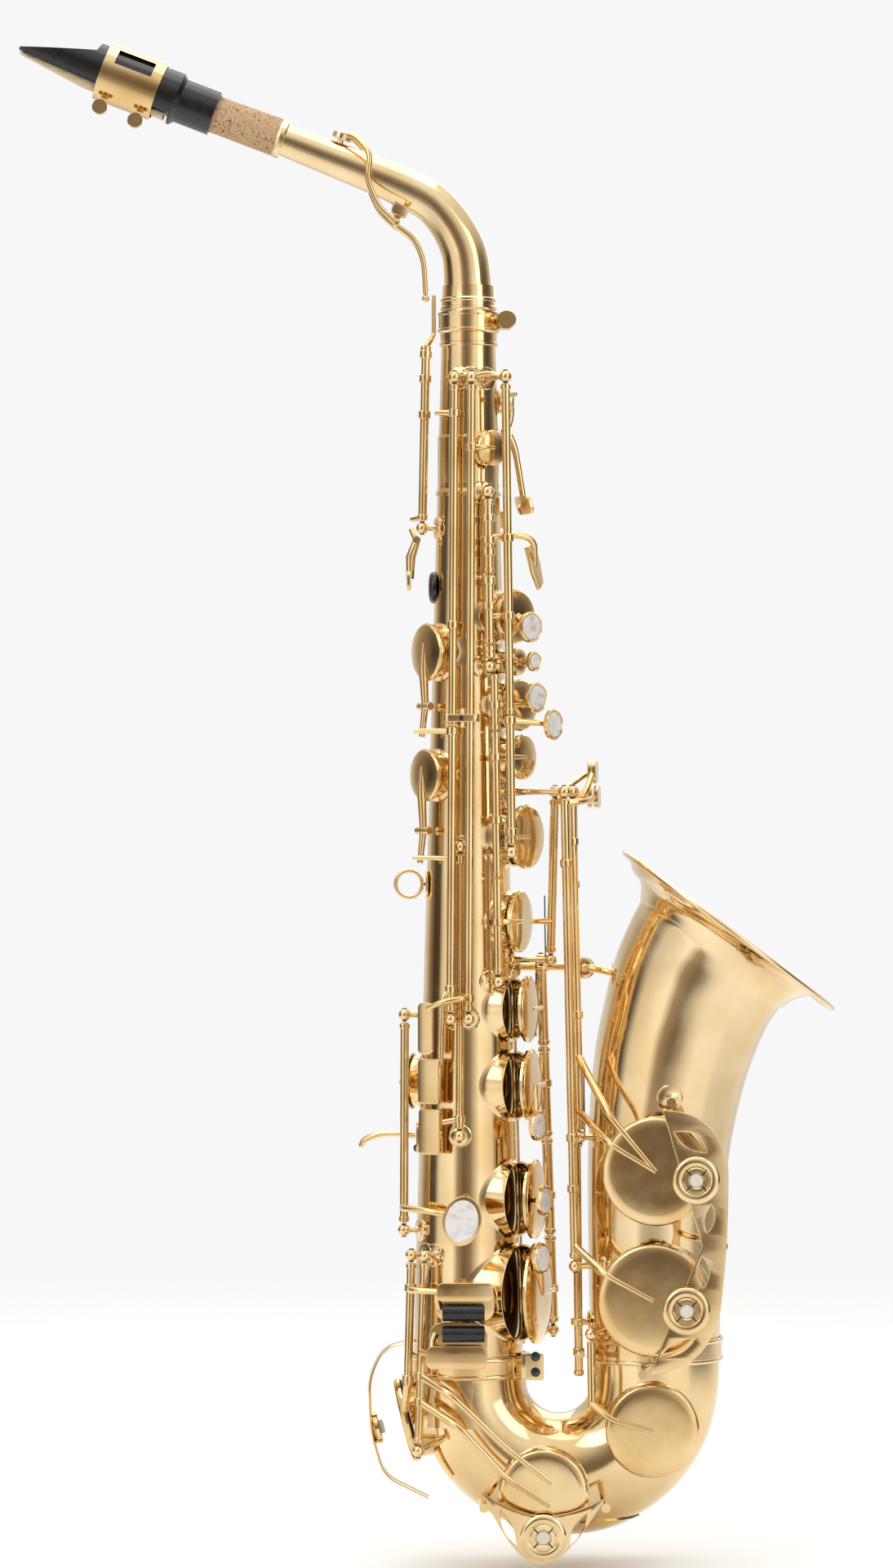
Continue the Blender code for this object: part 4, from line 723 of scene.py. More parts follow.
def patch_on_bow(start, end, half_width):
    """A thin plate that follows the outside of the bow between two bearings."""
    steps, sides = 16, 14
    verts, faces = [], []
    for layer in (0.7, -0.4):
        for i in range(steps + 1):
            t = radians(start + (end - start) * i / steps)
            centre = Vector((BOW_CENTRE_X + BOW_BEND_R * cos(t), 0.0, BOW_CENTRE_Z + BOW_BEND_R * sin(t)))
            out = Vector((cos(t), 0.0, sin(t)))
            share = (start + (end - start) * i / steps - 180.0) / 180.0
            tube = BOW_START_R + (BOW_END_R - BOW_START_R) * share + layer
            shape = half_width * (1.0 - 0.75 * abs(2.0 * i / steps - 1.0) ** 2.5)
            for j in range(sides + 1):
                a = radians(shape * (2.0 * j / sides - 1.0) * 1.6)
                verts.append(centre + out * tube * cos(a) + Vector((0, 1, 0)) * tube * sin(a))
    row, layer_size = sides + 1, (steps + 1) * (sides + 1)
    for layer in (0, layer_size):
        for i in range(steps):
            faces += [(layer + i * row + j, layer + i * row + j + 1, layer + (i + 1) * row + j + 1,
                       layer + (i + 1) * row + j) for j in range(sides)]
    rim = ([i * row for i in range(steps + 1)] + [steps * row + j for j in range(1, row)]
           + [i * row + sides for i in range(steps - 1, -1, -1)] + list(range(sides - 1, 0, -1)))
    for a, b in zip(rim, [*rim[1:], rim[0]]):
        faces.append((a, b, b + layer_size, a + layer_size))
    return [shape_from(verts, faces)]


def make_bell():
    shapes = [tube_shell(BELL_SECTIONS, 0.9, 8)]
    for name in ("low_b_key", "low_bb_key"):
        shapes.append(right_chimney(name, BELL_SECTIONS))
    # Rolled rim: a round bead whose outer side stays inside the rim's own size
    last, before = Vector(BELL_SECTIONS[-1]), Vector(BELL_SECTIONS[-2])
    axis = Vector((last.x - before.x, 0.0, last.y - before.y)).normalized()
    bead = [(59.95 + 1.45 * cos(a), 0.1 + 1.3 * sin(a)) for a in ring_angles(14)]
    shapes.append(turned(bead, (last.x, 0.0, last.y), axis))
    for line, z in (("low_bb", -175.6), ("low_b", -116.6), ("low_c_sharp", -203.0)):
        centre = on_line(line, z)
        toward = (Vector((114.6, 0.0, z)) - centre).normalized()
        reach = (Vector((114.6, 0.0, z)) - centre).length - 29.9
        surface = centre + toward * reach
        shapes += [foot_disc(surface - toward * 1.0, -toward, 5.0), cylinder(surface, centre, 2.0, 1.3)]
        if line == "low_c_sharp":
            shapes.append(collar(line, z, 3.6, 3.2))
        else:
            shapes.append(ball(centre, POST_BALL_R))
            shapes += painted([cylinder(centre - line_axis(line) * 3.15, centre, 1.15)], "blue_steel")
    top = C_SHARP_HINGE[0] + Vector((0.0, 0.0, 3.6))
    shapes += [cylinder((89.8, -15.8, top.z), top, 2.0, 1.3), ball(top, POST_BALL_R)]
    shapes.append(needle(on_line("low_b", -116.6) + Vector((2.2, 1.0, 0)),
                         on_line("low_b", -80.0) + Vector((2.6, 2.0, 0))))
    solid("bell", "bell_brass", shapes)


def beaded_band(inner, outer, low, high, base):
    """A band with a raised, rounded bead at each edge."""
    profile = [(inner, high), (outer, high)]
    bead = 0.55
    for centre in (high - 1.2, low + 1.2):
        profile += [(outer - 0.5 + bead * sin(a), centre + 1.0 * cos(a))
                    for a in [pi * i / 6 for i in range(7)]]
    profile += [(outer - 0.5, low), (inner, low)]
    profile[1] = (outer - 0.5, high)
    return turned(profile, base)


def slotted_screw(place, direction, radius=2.4, slot="blue_steel"):
    head = [(0.0, 1.2), (radius * 0.7, 1.0), (radius, 0.3), (radius, -0.8), (0.0, -0.8)]
    # The slot is not cut: a thin black plate on the head is painted shade standing in for it.
    slot_shade_plate = flat_plate(rounded_box(radius * 1.7, 0.6, 0.25), 0.5,
                       Vector(place) + Vector(direction).normalized() * 1.05, direction, 35.0)
    return [painted([turned(head, place, direction)], slot), painted([slot_shade_plate], "black_roller")]


def make_bands():
    shapes = [beaded_band(26.8, 28.0, -228.2, -218.0, (BODY_X + 0.4, 0, 0)),
              block((BODY_X + 26.4, -9.6, -223.0), (4.4, 9.0, 12.0)),
              flat_plate(rounded_box(8.4, 12.4, 1.2), 1.4, (BODY_X + 30.6, -14.4, -223.0), (0, -1, 0))]
    for z in (-218.2, -226.0 + 0.6):
        shapes.append(slotted_screw((BODY_X + 31.0, -15.2, z), (0, -1, 0), 2.2))
    solid("body_bow_clamp", "lacquered_brass", shapes)
    solid("bell_bow_ring", "lacquered_brass", [beaded_band(30.6, 31.9, -221.2, -210.0, (114.4, 0, 0))])


def make_bell_brace():
    path = smooth([(45.0, 12.4, -39.0), (58.0, 19.0, -39.0), (72.0, 17.0, -39.0), (84.0, 11.0, -39.3),
                   (96.4, 5.4, -41.6)], 5)
    ring = [(5.0, 1.4), (5.0, -1.4), (4.4, -1.8), (3.0, -1.8), (2.6, -1.2), (2.6, 1.2), (3.0, 1.8),
            (4.4, 1.8)]
    shapes = [swept(path, 2.0), turned(ring, (82.0, 12.0, -39.3), (0, 1, 0)),
              ball((82.0, 12.0, -39.3), 2.7), foot_disc((49.0, 11.6, -39.0), (0.87, 0.49, 0), 6.0),
              foot_disc((95.8, 5.4, -41.6), (-1, 0.12, 0), 5.6)]
    solid("bell_brace", "lacquered_brass", shapes)


# ---------------------------------------------------------------- guards and fixed fittings

def guard_boss(place, direction, felt_r, outer):
    """A raised boss with a groove and the slotted ring that holds a felt bumper. The ring's four slots are
    not cut: they are thin black strips of painted shade.
    """
    inner, ring, groove = felt_r + 0.2, felt_r + 2.7, felt_r + 3.3
    disc = [(groove, 0.4), (groove, 1.5), (groove + 0.6, 1.9), (outer - 1.6, 1.9), (outer - 0.6, 1.5),
            (outer, 0.9), (outer, -0.9), (outer - 0.5, -1.3), (inner, -1.3), (inner, 0.4)]
    nut = [(inner, 1.9), (inner + 0.3, 2.2), (ring - 0.4, 2.2), (ring, 1.8), (ring, 0.3), (inner, 0.3)]
    shapes = [turned(disc, place, direction), turned(nut, place, direction)]
    turn = facing(place, direction)
    # Thin black strips on the nut: painted shade standing in for the ring's four slots.
    for i in range(4):
        a = pi / 4 + pi / 2 * i
        out = turn @ Vector((cos(a) * (inner + ring) / 2, sin(a) * (inner + ring) / 2, 2.1))
        shapes += painted([flat_plate(rounded_box(ring - inner + 0.2, 0.7, 0.2), 0.5, out, direction,
                                      (a if Vector(direction).y < -0.9 else a + pi / 2) * 180 / pi)],
                                      "black_roller")
    return shapes


def guard_legs(places, face_y):
    shapes = []
    for x, y, z in places:
        leg = [(x, y, z), (x, y - 2.0, z), (x, face_y + 3.0, z), (x, face_y, z)]
        shapes.append(swept(leg, [2.4, 1.7, 1.7, 2.2]))
    return shapes


def bulged(start, end, bulge, steps=10):
    """Points of a bowed edge from start up to, but not with, end; bulge is to the right of the way."""
    start, end = Vector(start), Vector(end)
    along = (end - start).normalized()
    side = Vector((along.y, -along.x))
    return [tuple(start.lerp(end, i / steps) + side * bulge * sin(pi * i / steps)) for i in range(steps)]


def bowed_outline(edges):
    """A closed outline of bowed edges, given as corner and bulge."""
    made = []
    for i, (corner, bulge) in enumerate(edges):
        made += bulged(corner, edges[(i + 1) % len(edges)][0], bulge)
    return made


def leaf(centre, start, end, one, other):
    """A leaf window between two tips that are given from a boss's centre."""
    tips = [(centre[0] + x, centre[1] + z) for x, z in (start, end)]
    return bulged(tips[0], tips[1], one) + bulged(tips[1], tips[0], other)


def guard_plate(outline, windows, face_y):
    return flat_plate(outline, 1.5, (0, face_y, 0), (0, -1, 0), holes=windows)


def make_low_b_guard():
    outline = bowed_outline([((116.0, -102.0), -3.0), ((140.0, -112.0), -2.0), ((146.0, -135.0), -1.0),
                             ((142.0, -197.0), -7.0), ((110.0, -223.0), 0.0), ((134.0, -164.0), 0.0)])
    windows = [leaf(UPPER_BOSS, (-10, 22), (5, 12.5), -4.0, -2.5),
               leaf(UPPER_BOSS, (7, -11), (5, -24), -2.5, -2.0),
               leaf(LOWER_BOSS, (7, 25), (8, 10.5), -3.0, -2.5),
               leaf(LOWER_BOSS, (4, -12.5), (-12, -21), -2.5, -2.5)]
    shapes = [guard_plate(outline, windows, GUARD_FACE_Y)]
    for x, z in (UPPER_BOSS, LOWER_BOSS):
        shapes += guard_boss((x, GUARD_FACE_Y, z), (0, -1, 0), 3.3, 10.8)
    shapes += guard_legs([(120.0, -33.6, -98.6), (143.6, -9.5, -164.0), (107.0, -24.0, -222.5)], GUARD_FACE_Y)
    shapes.append(foot_disc((120.0, -34.4, -97.4), (0.1, -1, 0), 6.0))
    solid("low_b_guard", "lacquered_brass", shapes)


def make_low_c_guard():
    _, z, _, _ = LOW_HOLES["low_c_key"]
    boss = bumper_place("low_c")[0]
    centre = (boss[0], boss[2])
    left, right = (centre[0] - 28.5, centre[1] + 21.0), (centre[0] + 28.5, centre[1] + 18.0)
    outline = bowed_outline([(left, 32.0), (right, -9.5)])
    windows = [leaf(centre, (-20, 13), (-12, -4), 2.5, 2.0), leaf(centre, (12, -4), (20, 11), 2.0, 2.5)]
    shapes = [guard_plate(outline, windows, LOW_C_GUARD_Y)]
    shapes += guard_boss(boss, (0, -1, 0), 3.3, 10.6)
    shapes += guard_legs([(34.6, -18.0, z - 5.0), (90.4, -24.0, z - 5.0)], LOW_C_GUARD_Y)
    solid("low_c_guard", "lacquered_brass", shapes)


def make_eb_guard():
    """A bent strip that stands round the E flat cup, with the boss for its bumper."""
    seat, way, _ = eb_seat()
    path = rounded([(2.5, 0, -212.0), (-12.0, 0, -215.5), (-18.4, 0, -230.0), (-17.6, 0, -254.0),
                    (-11.5, 0, -275.0), (9.0, 0, -285.0)], 7.0, 6)
    width = [6.0 + 3.4 * sin(pi * i / (len(path) - 1)) for i in range(len(path))]
    shapes = [swept(path, width, flatten=0.12, count=28), guard_boss(seat + way * 16.4, way, 3.2, 7.6)]
    solid("eb_guard", "lacquered_brass", shapes)


def make_bumpers():
    for name in ("low_b", "low_bb", "low_c", "eb"):
        centre, way, radius = bumper_place(name)
        profile = [(0.0, 2.0), (radius - 0.5, 1.9), (radius, 1.4), (radius, -2.6), (radius - 0.4, -3.0),
                   (0.0, -3.0)]
        solid(name + "_bumper", "felt", [turned(profile, centre, way)])


def make_back_fittings():
    hoop = [(6.2 + 0.9 * cos(a), 0.9 * sin(a)) for a in ring_angles(14)]
    plate = block((8.4, 0, 0), (14.0, 16.0, 1.2), (1, 0, 0), 90)
    shapes = [turned(hoop, (0, 0, 0), (0, 1, 0)), plate, block((7.4, 0, 0), (4.0, 2.6, 2.0), (1, 0, 0))]
    solid("strap_ring", "lacquered_brass", shapes)
    hook = smooth([(3.0, 0, -117.0), (-6.0, 0, -116.0), (-14.0, 0, -116.4), (-20.5, 0, -119.0),
                   (-22.5, 0, -122.0)], 5)
    radii = [3.0 + 0.2 * sin(pi * i / (len(hook) - 1)) - 0.6 * (i / (len(hook) - 1)) ** 3
             for i in range(len(hook))]
    pad = block((4.2, 0, -118.0), (14.0, 10.0, 1.6), (1, 0, 0), 90)
    shapes = [pad, swept(hook, [r * 1.5 for r in radii], flatten=0.36, count=28)]
    shapes += slotted_screw((3.4, 0.0, -122.8), (-1, 0, 0), 1.8)
    solid("thumb_hook", "lacquered_brass", shapes)
    button = [(0.0, 2.6), (4.0, 2.4), (6.2, 1.9), (7.2, 1.1), (7.5, 0.2), (7.5, -1.2), (0.0, -1.2)]
    place = around(180.0, 138.0, body_radius(138.0) + GAP)
    solid("thumb_rest", "hard_rubber", [turned(button, place, (-1, 0, 0))])


def make_rod_guide():
    z = 77.0
    left, right = on_line("side_c", z), on_line("side_e", z)
    middle = (left + right) / 2
    strap = flat_plate(rounded_box(17.0, 6.6, 3.0), 3.6, middle + Vector((0, 0.4, 0)), (0, 0, 1))
    leg = cylinder((BODY_X - 2.6, -body_radius(z) + 0.6, z), (BODY_X - 2.6, middle.y + 2.0, z), 2.2, 1.6)
    shapes = [strap, leg, foot_disc((BODY_X - 2.6, -body_radius(z) - 0.2, z), (0, -1, 0), 4.4)]
    shapes += slotted_screw(middle + Vector((0, -3.2, 0)), (0, -1, 0), 1.3)
    solid("rod_guide", "lacquered_brass", shapes)


def make_neck():
    shapes = [tube_shell(NECK_SECTIONS, 0.9, 6)]
    ring = [(12.6, 272.6), (13.1, 272.0), (13.1, 271.0), (12.7, 270.6), (12.7, 268.6), (13.1, 268.2),
            (13.1, 267.0), (12.7, 266.4), (10.9, 266.4), (10.9, 272.6)]
    shapes.append(turned(ring, (BODY_X, 0, 0)))
    tip = [(8.9, 2.4), (9.2, 2.0), (9.2, -0.6), (8.6, -1.2), (7.2, -1.2), (7.2, 2.4)]
    shapes.append(turned(tip, (-58.9, 0, 346.5), (-0.936, 0, 0.352)))
    shapes.append(cylinder((-33.9, 0.0, 340.5), (-31.6, 0.0, 346.2), 1.9, 1.5))
    shapes.append(foot_disc((-33.5, 0.0, 341.4), (0.36, 0, 0.93), 4.0))
    for side in (-1, 1):
        shapes.append(flat_plate(rounded_box(7.6, 5.4, 1.8), 1.6, (-4.2, 3.2 * side, 313.4), (0, 1, 0), 20))
    # Flat spring under the bend
    shapes += painted([swept([(-4.4, 0, 314.6), (-12.0, 0, 319.4), (-22.0, 0, 324.6)], 1.6, flatten=0.2)],
                      "blue_steel")
    hinged("neck_tube", shapes, NECK_PIVOT, (0, 0, 1), material="neck_brass")


def make_neck_cork():
    tip, heel = Vector((CORK_TIP[0], 0, CORK_TIP[1])), Vector((CORK_HEEL[0], 0, CORK_HEEL[1]))
    length = (tip - heel).length
    profile = [(0.0, length), (8.2, length), (8.6, length - 0.5), (8.75, length * 0.5), (9.0, 1.2),
               (8.6, 0.0), (0.0, 0.0)]
    hinged("neck_cork", [turned(profile, heel, tip - heel)], NECK_PIVOT, (0, 0, 1), material="cork")

def make_neck_octave_key():
    """The octave key: pad cup on top, side bars round the neck, and a ball that meets the body's pin."""
    pivot = Vector(OCTAVE_PIVOT)
    shapes = [cylinder(pivot - Vector((0, 2.0, 0)), pivot + Vector((0, 2.0, 0)), 1.8)]
    way = Vector((0.36, 0, 0.93))
    shapes.append(turned([(0.0, 3.0), (4.6, 2.4), (4.6, 0.0), (0.0, 0.0)], Vector((-31.6, 0, 346.6)), way))
    top = Vector((-31.6, 0.0, 346.6)) + way * 2.4
    for side in (-1, 1):
        bar = [top, (-24.5, 6.5 * side, 347.0), (-17.5, 12.2 * side, 338.5), (-19.5, 13.2 * side, 327.0),
               (-14.0, 12.6 * side, 314.0), (-6.0, 12.2 * side, 306.6)]
        shapes.append(arm(bar, 1.3))
    shapes.append(cylinder((-6.0, -12.8, 306.6), (-6.0, 12.8, 306.6), 1.3))
    shapes.append(arm([(-6.0, 0.0, 306.6), (-5.3, 0.0, 310.5)], 1.4))
    tail = [(-6.0, 0.0, 306.4), (1.0, 0.0, 301.4), (4.5, 0.0, 296.6), (7.0, 0.0, 289.0), (7.8, 0.0, 274.4)]
    shapes.append(arm(tail, 1.3))
    shapes.append(ball((7.8, 0.0, 272.6), 1.8))
    hinged("neck_octave_key", shapes, pivot, (0, 1, 0))

def along_mouthpiece(u, v=0.0, y=0.0):
    """A point u along the mouthpiece from its shank end and v above its axis."""
    way = Vector((MOUTHPIECE_WAY[0], 0.0, MOUTHPIECE_WAY[1])).normalized()
    above = Vector((-way.x * way.z / abs(way.x), 0.0, abs(way.x)))
    return Vector((SHANK_END[0], y, SHANK_END[1])) + way * u + above * v

def side_prism(profile, width):
    """A solid as wide as given, centred on the middle plane, from (u, v) points of the mouthpiece."""
    outline = [(point.x, point.z) for point in (along_mouthpiece(u, v) for u, v in profile)]
    return flat_plate(outline, width, (0, 0, 0), (0, -1, 0))

def make_mouthpiece():
    start, way = along_mouthpiece(0), along_mouthpiece(1) - along_mouthpiece(0)
    length = MOUTHPIECE_LENGTH
    outside = [(0.0, length), (9.0, length), (MOUTHPIECE_R - 0.5, length - 34.0),
               (MOUTHPIECE_R, SHANK_LENGTH + 2.0), (SHANK_R, SHANK_LENGTH), (SHANK_R, 0.0), (0.0, 0.0)]
    inside = [(0.0, length - 19.0), (4.0, length - 20.0), (5.5, SHANK_LENGTH + 8.0),
              (MOUTHPIECE_BORE_R, SHANK_LENGTH + 4.0), (MOUTHPIECE_BORE_R, -5.0), (0.0, -5.0)]
    body = turned(outside, start, way)
    bore = turned(inside, start, way)
    u, v = BEAK_ROOT
    beak = side_prism([(length + 9.0, BEAK_TIP_V - 3.0), (u, v), (u - 3.0, 22.0), (length + 9.0, 22.0)], 40.0)
    table = side_prism([(SHANK_LENGTH + 3.0, TABLE_HEEL_V), (length + 9.0, TABLE_TIP_V + 0.4),
                        (length + 9.0, -22.0),
                        (SHANK_LENGTH + 3.0, -22.0)], 40.0)
    hinged("mouthpiece", [body], start, (0, 0, 1), material="hard_rubber", cuts=[bore, beak, table])

def make_reed_and_ligature():
    start, way = along_mouthpiece(0), along_mouthpiece(1) - along_mouthpiece(0)
    tip = MOUTHPIECE_LENGTH - 0.6
    reed = side_prism([(22.0, TABLE_HEEL_V - 0.5), (tip, TABLE_TIP_V - 0.6), (tip, TABLE_TIP_V - 1.0),
                       (tip - 32.0, TABLE_HEEL_V - 1.6), (22.0, TABLE_HEEL_V - 2.5)], 12.4)
    hinged("reed", [reed], start, (0, 0, 1), material="cane")
    low, high = LIGATURE_SPAN
    inner = MOUTHPIECE_R + GAP
    band = turned([(LIGATURE_R, high), (LIGATURE_R, low), (inner, low), (inner, high)], start, way)
    shapes = [band]
    for u in LIGATURE_SCREWS.values():
        shapes.append(block(along_mouthpiece(u, -15.8), (7.0, 6.0, 5.0), way))
    window = side_prism([(low + 5.0, 4.0), (high - 5.0, 4.0), (high - 5.0, 11.0), (low + 5.0, 11.0)], 60.0)
    hinged("ligature", shapes, start, (0, 0, 1), cuts=[window])
    for name, u in LIGATURE_SCREWS.items():
        centre = along_mouthpiece(u, -17.0)
        neck_end = centre + Vector((0, -3.5 - GAP, 0))
        shapes = [cylinder(neck_end, neck_end - Vector((0, 3.2, 0)), 1.8),
                  cylinder(neck_end - Vector((0, 3.0, 0)), neck_end - Vector((0, 6.4, 0)), 3.6)]
        hinged("ligature_screw_" + name, shapes, centre, (0, 1, 0))

def make_neck_screw():
    centre = Vector((BODY_X + 17.6, 0.0, 261.5))
    start = centre + Vector((0, -4.2, 0))
    shapes = [cylinder(start, start + Vector((0, -5.0, 0)), 2.4),
              cylinder(start + Vector((0, -4.6, 0)), start + Vector((0, -11.0, 0)), 4.4)]
    hinged("neck_screw", shapes, centre, (0, 1, 0))

def make_left_stack():
    angle = STACK_HOLES["key_b"][1]
    key_on_line("key_b", "upper_stack", 143.0, 111.0,
                [stack_cup("key_b"), stack_arm("key_b", "upper_stack"),
                 *raised_pearl("key_b", around(angle, 118.8, 33.0), angle)], -16.0, 2.3)
    key_on_line("key_bis", "upper_stack", 110.6, 104.5,
                [stack_cup("key_bis"), stack_arm("key_bis", "upper_stack", 106.0),
                 *raised_pearl("key_bis", around(-28.0, 103.0, 34.0), -28.0, 4.6)], -14.0, 2.3)
    key_on_line("key_a", "middle_stack", 97.4, 71.2,
                [stack_cup("key_a"), stack_arm("key_a", "middle_stack"),
                 *raised_pearl("key_a", around(-27.0, 86.4, 35.0), -27.0, 7.0)], -15.0)
    key_on_line("key_c_aux", "middle_stack", 70.8, 3.4,
                [stack_cup("key_c_aux"), stack_arm("key_c_aux", "middle_stack")], -13.0)
    pearl = around(-21.0, 74.0, 41.0)
    rod = on_line("outer", 76.0)
    touch = [pearl_holder(pearl, bearing(-21.0)), arm([rod, pearl - bearing(-21.0) * 2.0], 1.4)]
    key_on_line("key_g", "outer", 78.0, 18.9,
                [stack_cup("key_g"), stack_arm("key_g", "outer"), *touch], -12.0)

def make_right_stack():
    spans = {"key_f_sharp": (-38.6, -75.4), "key_f": (-75.8, -118.0), "key_e": (-118.4, -163.6),
             "key_d": (-164.0, -205.0)}
    pearls = {"key_f": (-40.0, -111.0, 35.0), "key_e": (-38.0, -145.7, 37.4), "key_d": (-44.0, -172.0, 38.0)}
    for name, (top, bottom) in spans.items():
        shapes = [stack_cup(name), stack_arm(name, "lower_stack")]
        if name in pearls:
            angle, z, radius = pearls[name]
            shapes += raised_pearl(name, around(angle, z, radius), angle)
        key_on_line(name, "lower_stack", top, bottom, shapes, 11.0, 2.4)

def make_g_sharp():
    key_on_line("key_g_sharp", "middle_stack", 3.0, -41.2,
                [stack_cup("key_g_sharp"), stack_arm("key_g_sharp", "middle_stack")])

def make_side_keys():
    face = Vector((-0.55, -0.83, 0.0))
    # High E: the long rod to the cup near the top, with the upper touch
    touch = block((8.0, -27.0, -66.0), (8.0, 24.0, 1.9), face)
    elbow = [on_line("side_e", -52.0), (24.0, -32.2, -52.0), (14.0, -31.6, -54.0), (8.6, -27.8, -57.0)]
    key_on_line("side_e_key", "side_e", 231.2, -58.2,
                [stack_cup("side_e_key"), stack_arm("side_e_key", "side_e"), arm(elbow), touch])
    # Side C lever: its finger lies on the tail of the side C cup key
    tail_c = around(-149.3, 71.0, body_radius(71.0) + 11.5)
    touch = block((9.9, -25.8, -90.4), (11.5, 20.8, 3.2), face)
    elbow = [on_line("side_c", -48.0), (15.4, -27.5, -52.0), (14.6, -27.4, -84.0), (10.6, -26.4, -88.0)]
    key_on_line("side_c_lever", "side_c", 73.6, -58.2,
                [arm([on_line("side_c", 71.0), tail_c]), arm(elbow), touch])
    # Side B flat lever, with its own rod behind the long ones
    tail_bb = around(-147.0, 12.6, body_radius(12.6) + 11.5)
    near = on_line("side_bb", 12.0)
    touch = block((10.2, -25.8, -113.6), (11.5, 21.0, 3.2), face)
    key_on_line("side_bb_lever", "side_bb", 14.3, -112.3,
                [arm([near, (15.0, -19.6, 12.4), tail_bb], 1.1),
                 arm([on_line("side_bb", -108.0), (12.0, -25.6, -110.0)]), touch], 0.0, 1.6)
    for name, tail_z, hinge_z in (("side_c_cup", 72.4, 82.6), ("side_bb_cup", 14.0, 25.0)):
        z, angle, _ = SIDE_HOLES[name]
        way = bearing(angle)
        across = Vector((-way.y, way.x, 0.0))
        pivot = around(angle, hinge_z, body_radius(hinge_z) + 6.0)
        top = around(angle, z + 4.0, body_radius(z) + CHIMNEY_H + CUP_H - 0.4)
        tail = around(angle, tail_z - 4.0, body_radius(tail_z) + 7.6)
        shapes = [cylinder(pivot - across * 5.0, pivot + across * 5.0, 1.9), stack_cup(name),
                  swept([tail, pivot, around(angle, z - 8, body_radius(z) + CHIMNEY_H + CUP_H), top],
                        [1.4, 1.7, 2.2, 1.2])]
        hinged(name, shapes, pivot, across)
    # High F sharp: touch on the right, cup at the back
    rod_point = on_line("high_f_sharp", -149.0)
    paddle = [(9.0 * cos(a), 11.6 * sin(a)) for a in ring_angles(40)]
    touch = flat_plate(paddle, 2.2, (24.6, -35.0, -154.0), (-0.1, -1, 0), -12)
    nacre = [(x * 0.84, y * 0.84) for x, y in paddle]
    touch = [touch, painted([flat_plate(nacre, 1.6, (24.5, -35.9, -154.0), (-0.1, -1, 0), -12)], "pearl")]
    lever = arm([rod_point, (-3.0, -22.0, -149.0), (8.0, -31.0, -149.4), (20.0, -34.2, -152.0)], 1.5)
    key_on_line("high_f_sharp_key", "high_f_sharp", -64.0, -156.4,
                [stack_cup("high_f_sharp_key"), stack_arm("high_f_sharp_key", "high_f_sharp"), lever, touch])

def make_palm_keys():
    """Palm keys on the player's left, each with its hinge across the body above the touch."""
    for name, spin in (("palm_d_key", 26.0), ("palm_eb_key", 30.0), ("palm_f_key", 34.0)):
        z, angle, radius = SIDE_HOLES[name]
        way = bearing(angle)
        across = Vector((-way.y, way.x, 0.0))
        hinge_z = z - radius - 7.0
        pivot = around(angle, hinge_z, body_radius(hinge_z) + 5.5)
        top = around(angle, z, body_radius(z) + CHIMNEY_H + CUP_H - 0.4)
        touch = around(angle, hinge_z - spin, body_radius(hinge_z) + 14.0)
        shapes = [cylinder(pivot - across * 4.0, pivot + across * 4.0, 1.9), stack_cup(name),
                  arm([top, around(angle, z - radius, body_radius(z) + CHIMNEY_H + CUP_H), pivot], 1.6),
                  arm([pivot, around(angle, hinge_z - 8.0, body_radius(hinge_z) + 9.5), touch], 1.6),
                  block(touch, (9.0, 17.0, 2.2), way * 0.95 + Vector((0, 0, 0.3)), 90.0)]
        hinged(name, shapes, pivot, across)
    # Front F: a wing above the B pearl on the upper stack line
    wing = [(-4.0, 9.5), (4.5, 12.0), (6.0, 4.0), (2.5, -8.0), (-3.0, -11.0), (-5.0, -3.0)]
    centre = around(-21.0, 147.0, 33.0)
    touch = flat_plate(wing, 2.0, centre, (0.86, -0.42, 0.30))
    rod_point = on_line("upper_stack", 160.0)
    lever = arm([rod_point, around(-42.0, 162.0, 28.0), around(-26.0, 160.0, 34.0), centre], 1.5)
    key_on_line("front_f_key", "upper_stack", 178.2, 143.5, [lever, touch], 0.0, 2.3)

def make_octave_mechanism():
    """Thumb lever at the back, the swinging rod it moves, and the pin that works the neck's key."""
    pin_foot = Vector((11.6, 0.0, 256.0))
    pin = arm([on_line("octave", 249.0), (9.6, -2.0, 252.0), pin_foot], 1.2)
    key_on_line("octave_pin_lever", "octave", 250.2, 168.8,
                [pin, cylinder(pin_foot, (11.6, 0.0, 274.0), 1.0),
                 arm([on_line("octave", 170.4), (1.2, -2.0, 169.6)], 1.2)])
    pivot = Vector((3.6, 0.0, 160.0))
    shapes = [cylinder(pivot - Vector((0, 4.0, 0)), pivot + Vector((0, 4.0, 0)), 1.9),
              swept([pivot, (0.8, 0, 152.0), (0.6, 0, 142.0)], [1.8, 2.4, 1.8]),
              arm([pivot, (1.0, 3.4, 165.2)], 1.3)]
    plate = block((0.0, 0.0, 141.0), (16.0, 9.0, 1.8), (1, 0, 0), 0)
    hinged("octave_thumb_lever", [*shapes, plate], pivot, (0, 1, 0))

def make_link_rod():
    """The long outer rod that carries the stack's linkage up the body."""
    upper = on_line("outer", 226.0)
    key_on_line("stack_link_rod", "outer", 231.2, 78.4, [arm([upper, upper + Vector((4.4, 7.0, 1.0))], 1.4)])

def make_upper_vent():
    """The body's octave vent key on the upper part of the side C line."""
    key_on_line("body_vent_key", "side_c", 231.2, 74.0,
                [arm([on_line("side_c", 218.0), (12.2, -19.6, 218.0)], 1.3)])

def table_touch(row, column):
    """A touch of the left little finger's table, edge-on to the player's right."""
    centre = (TABLE_X, 2.0 + 15.0 * column, TABLE_BOTTOM_Z + 5.0 + TABLE_STEP * row)
    return block(centre, (14.0, 10.4, 2.2), (1, 0, 0)), Vector(centre)

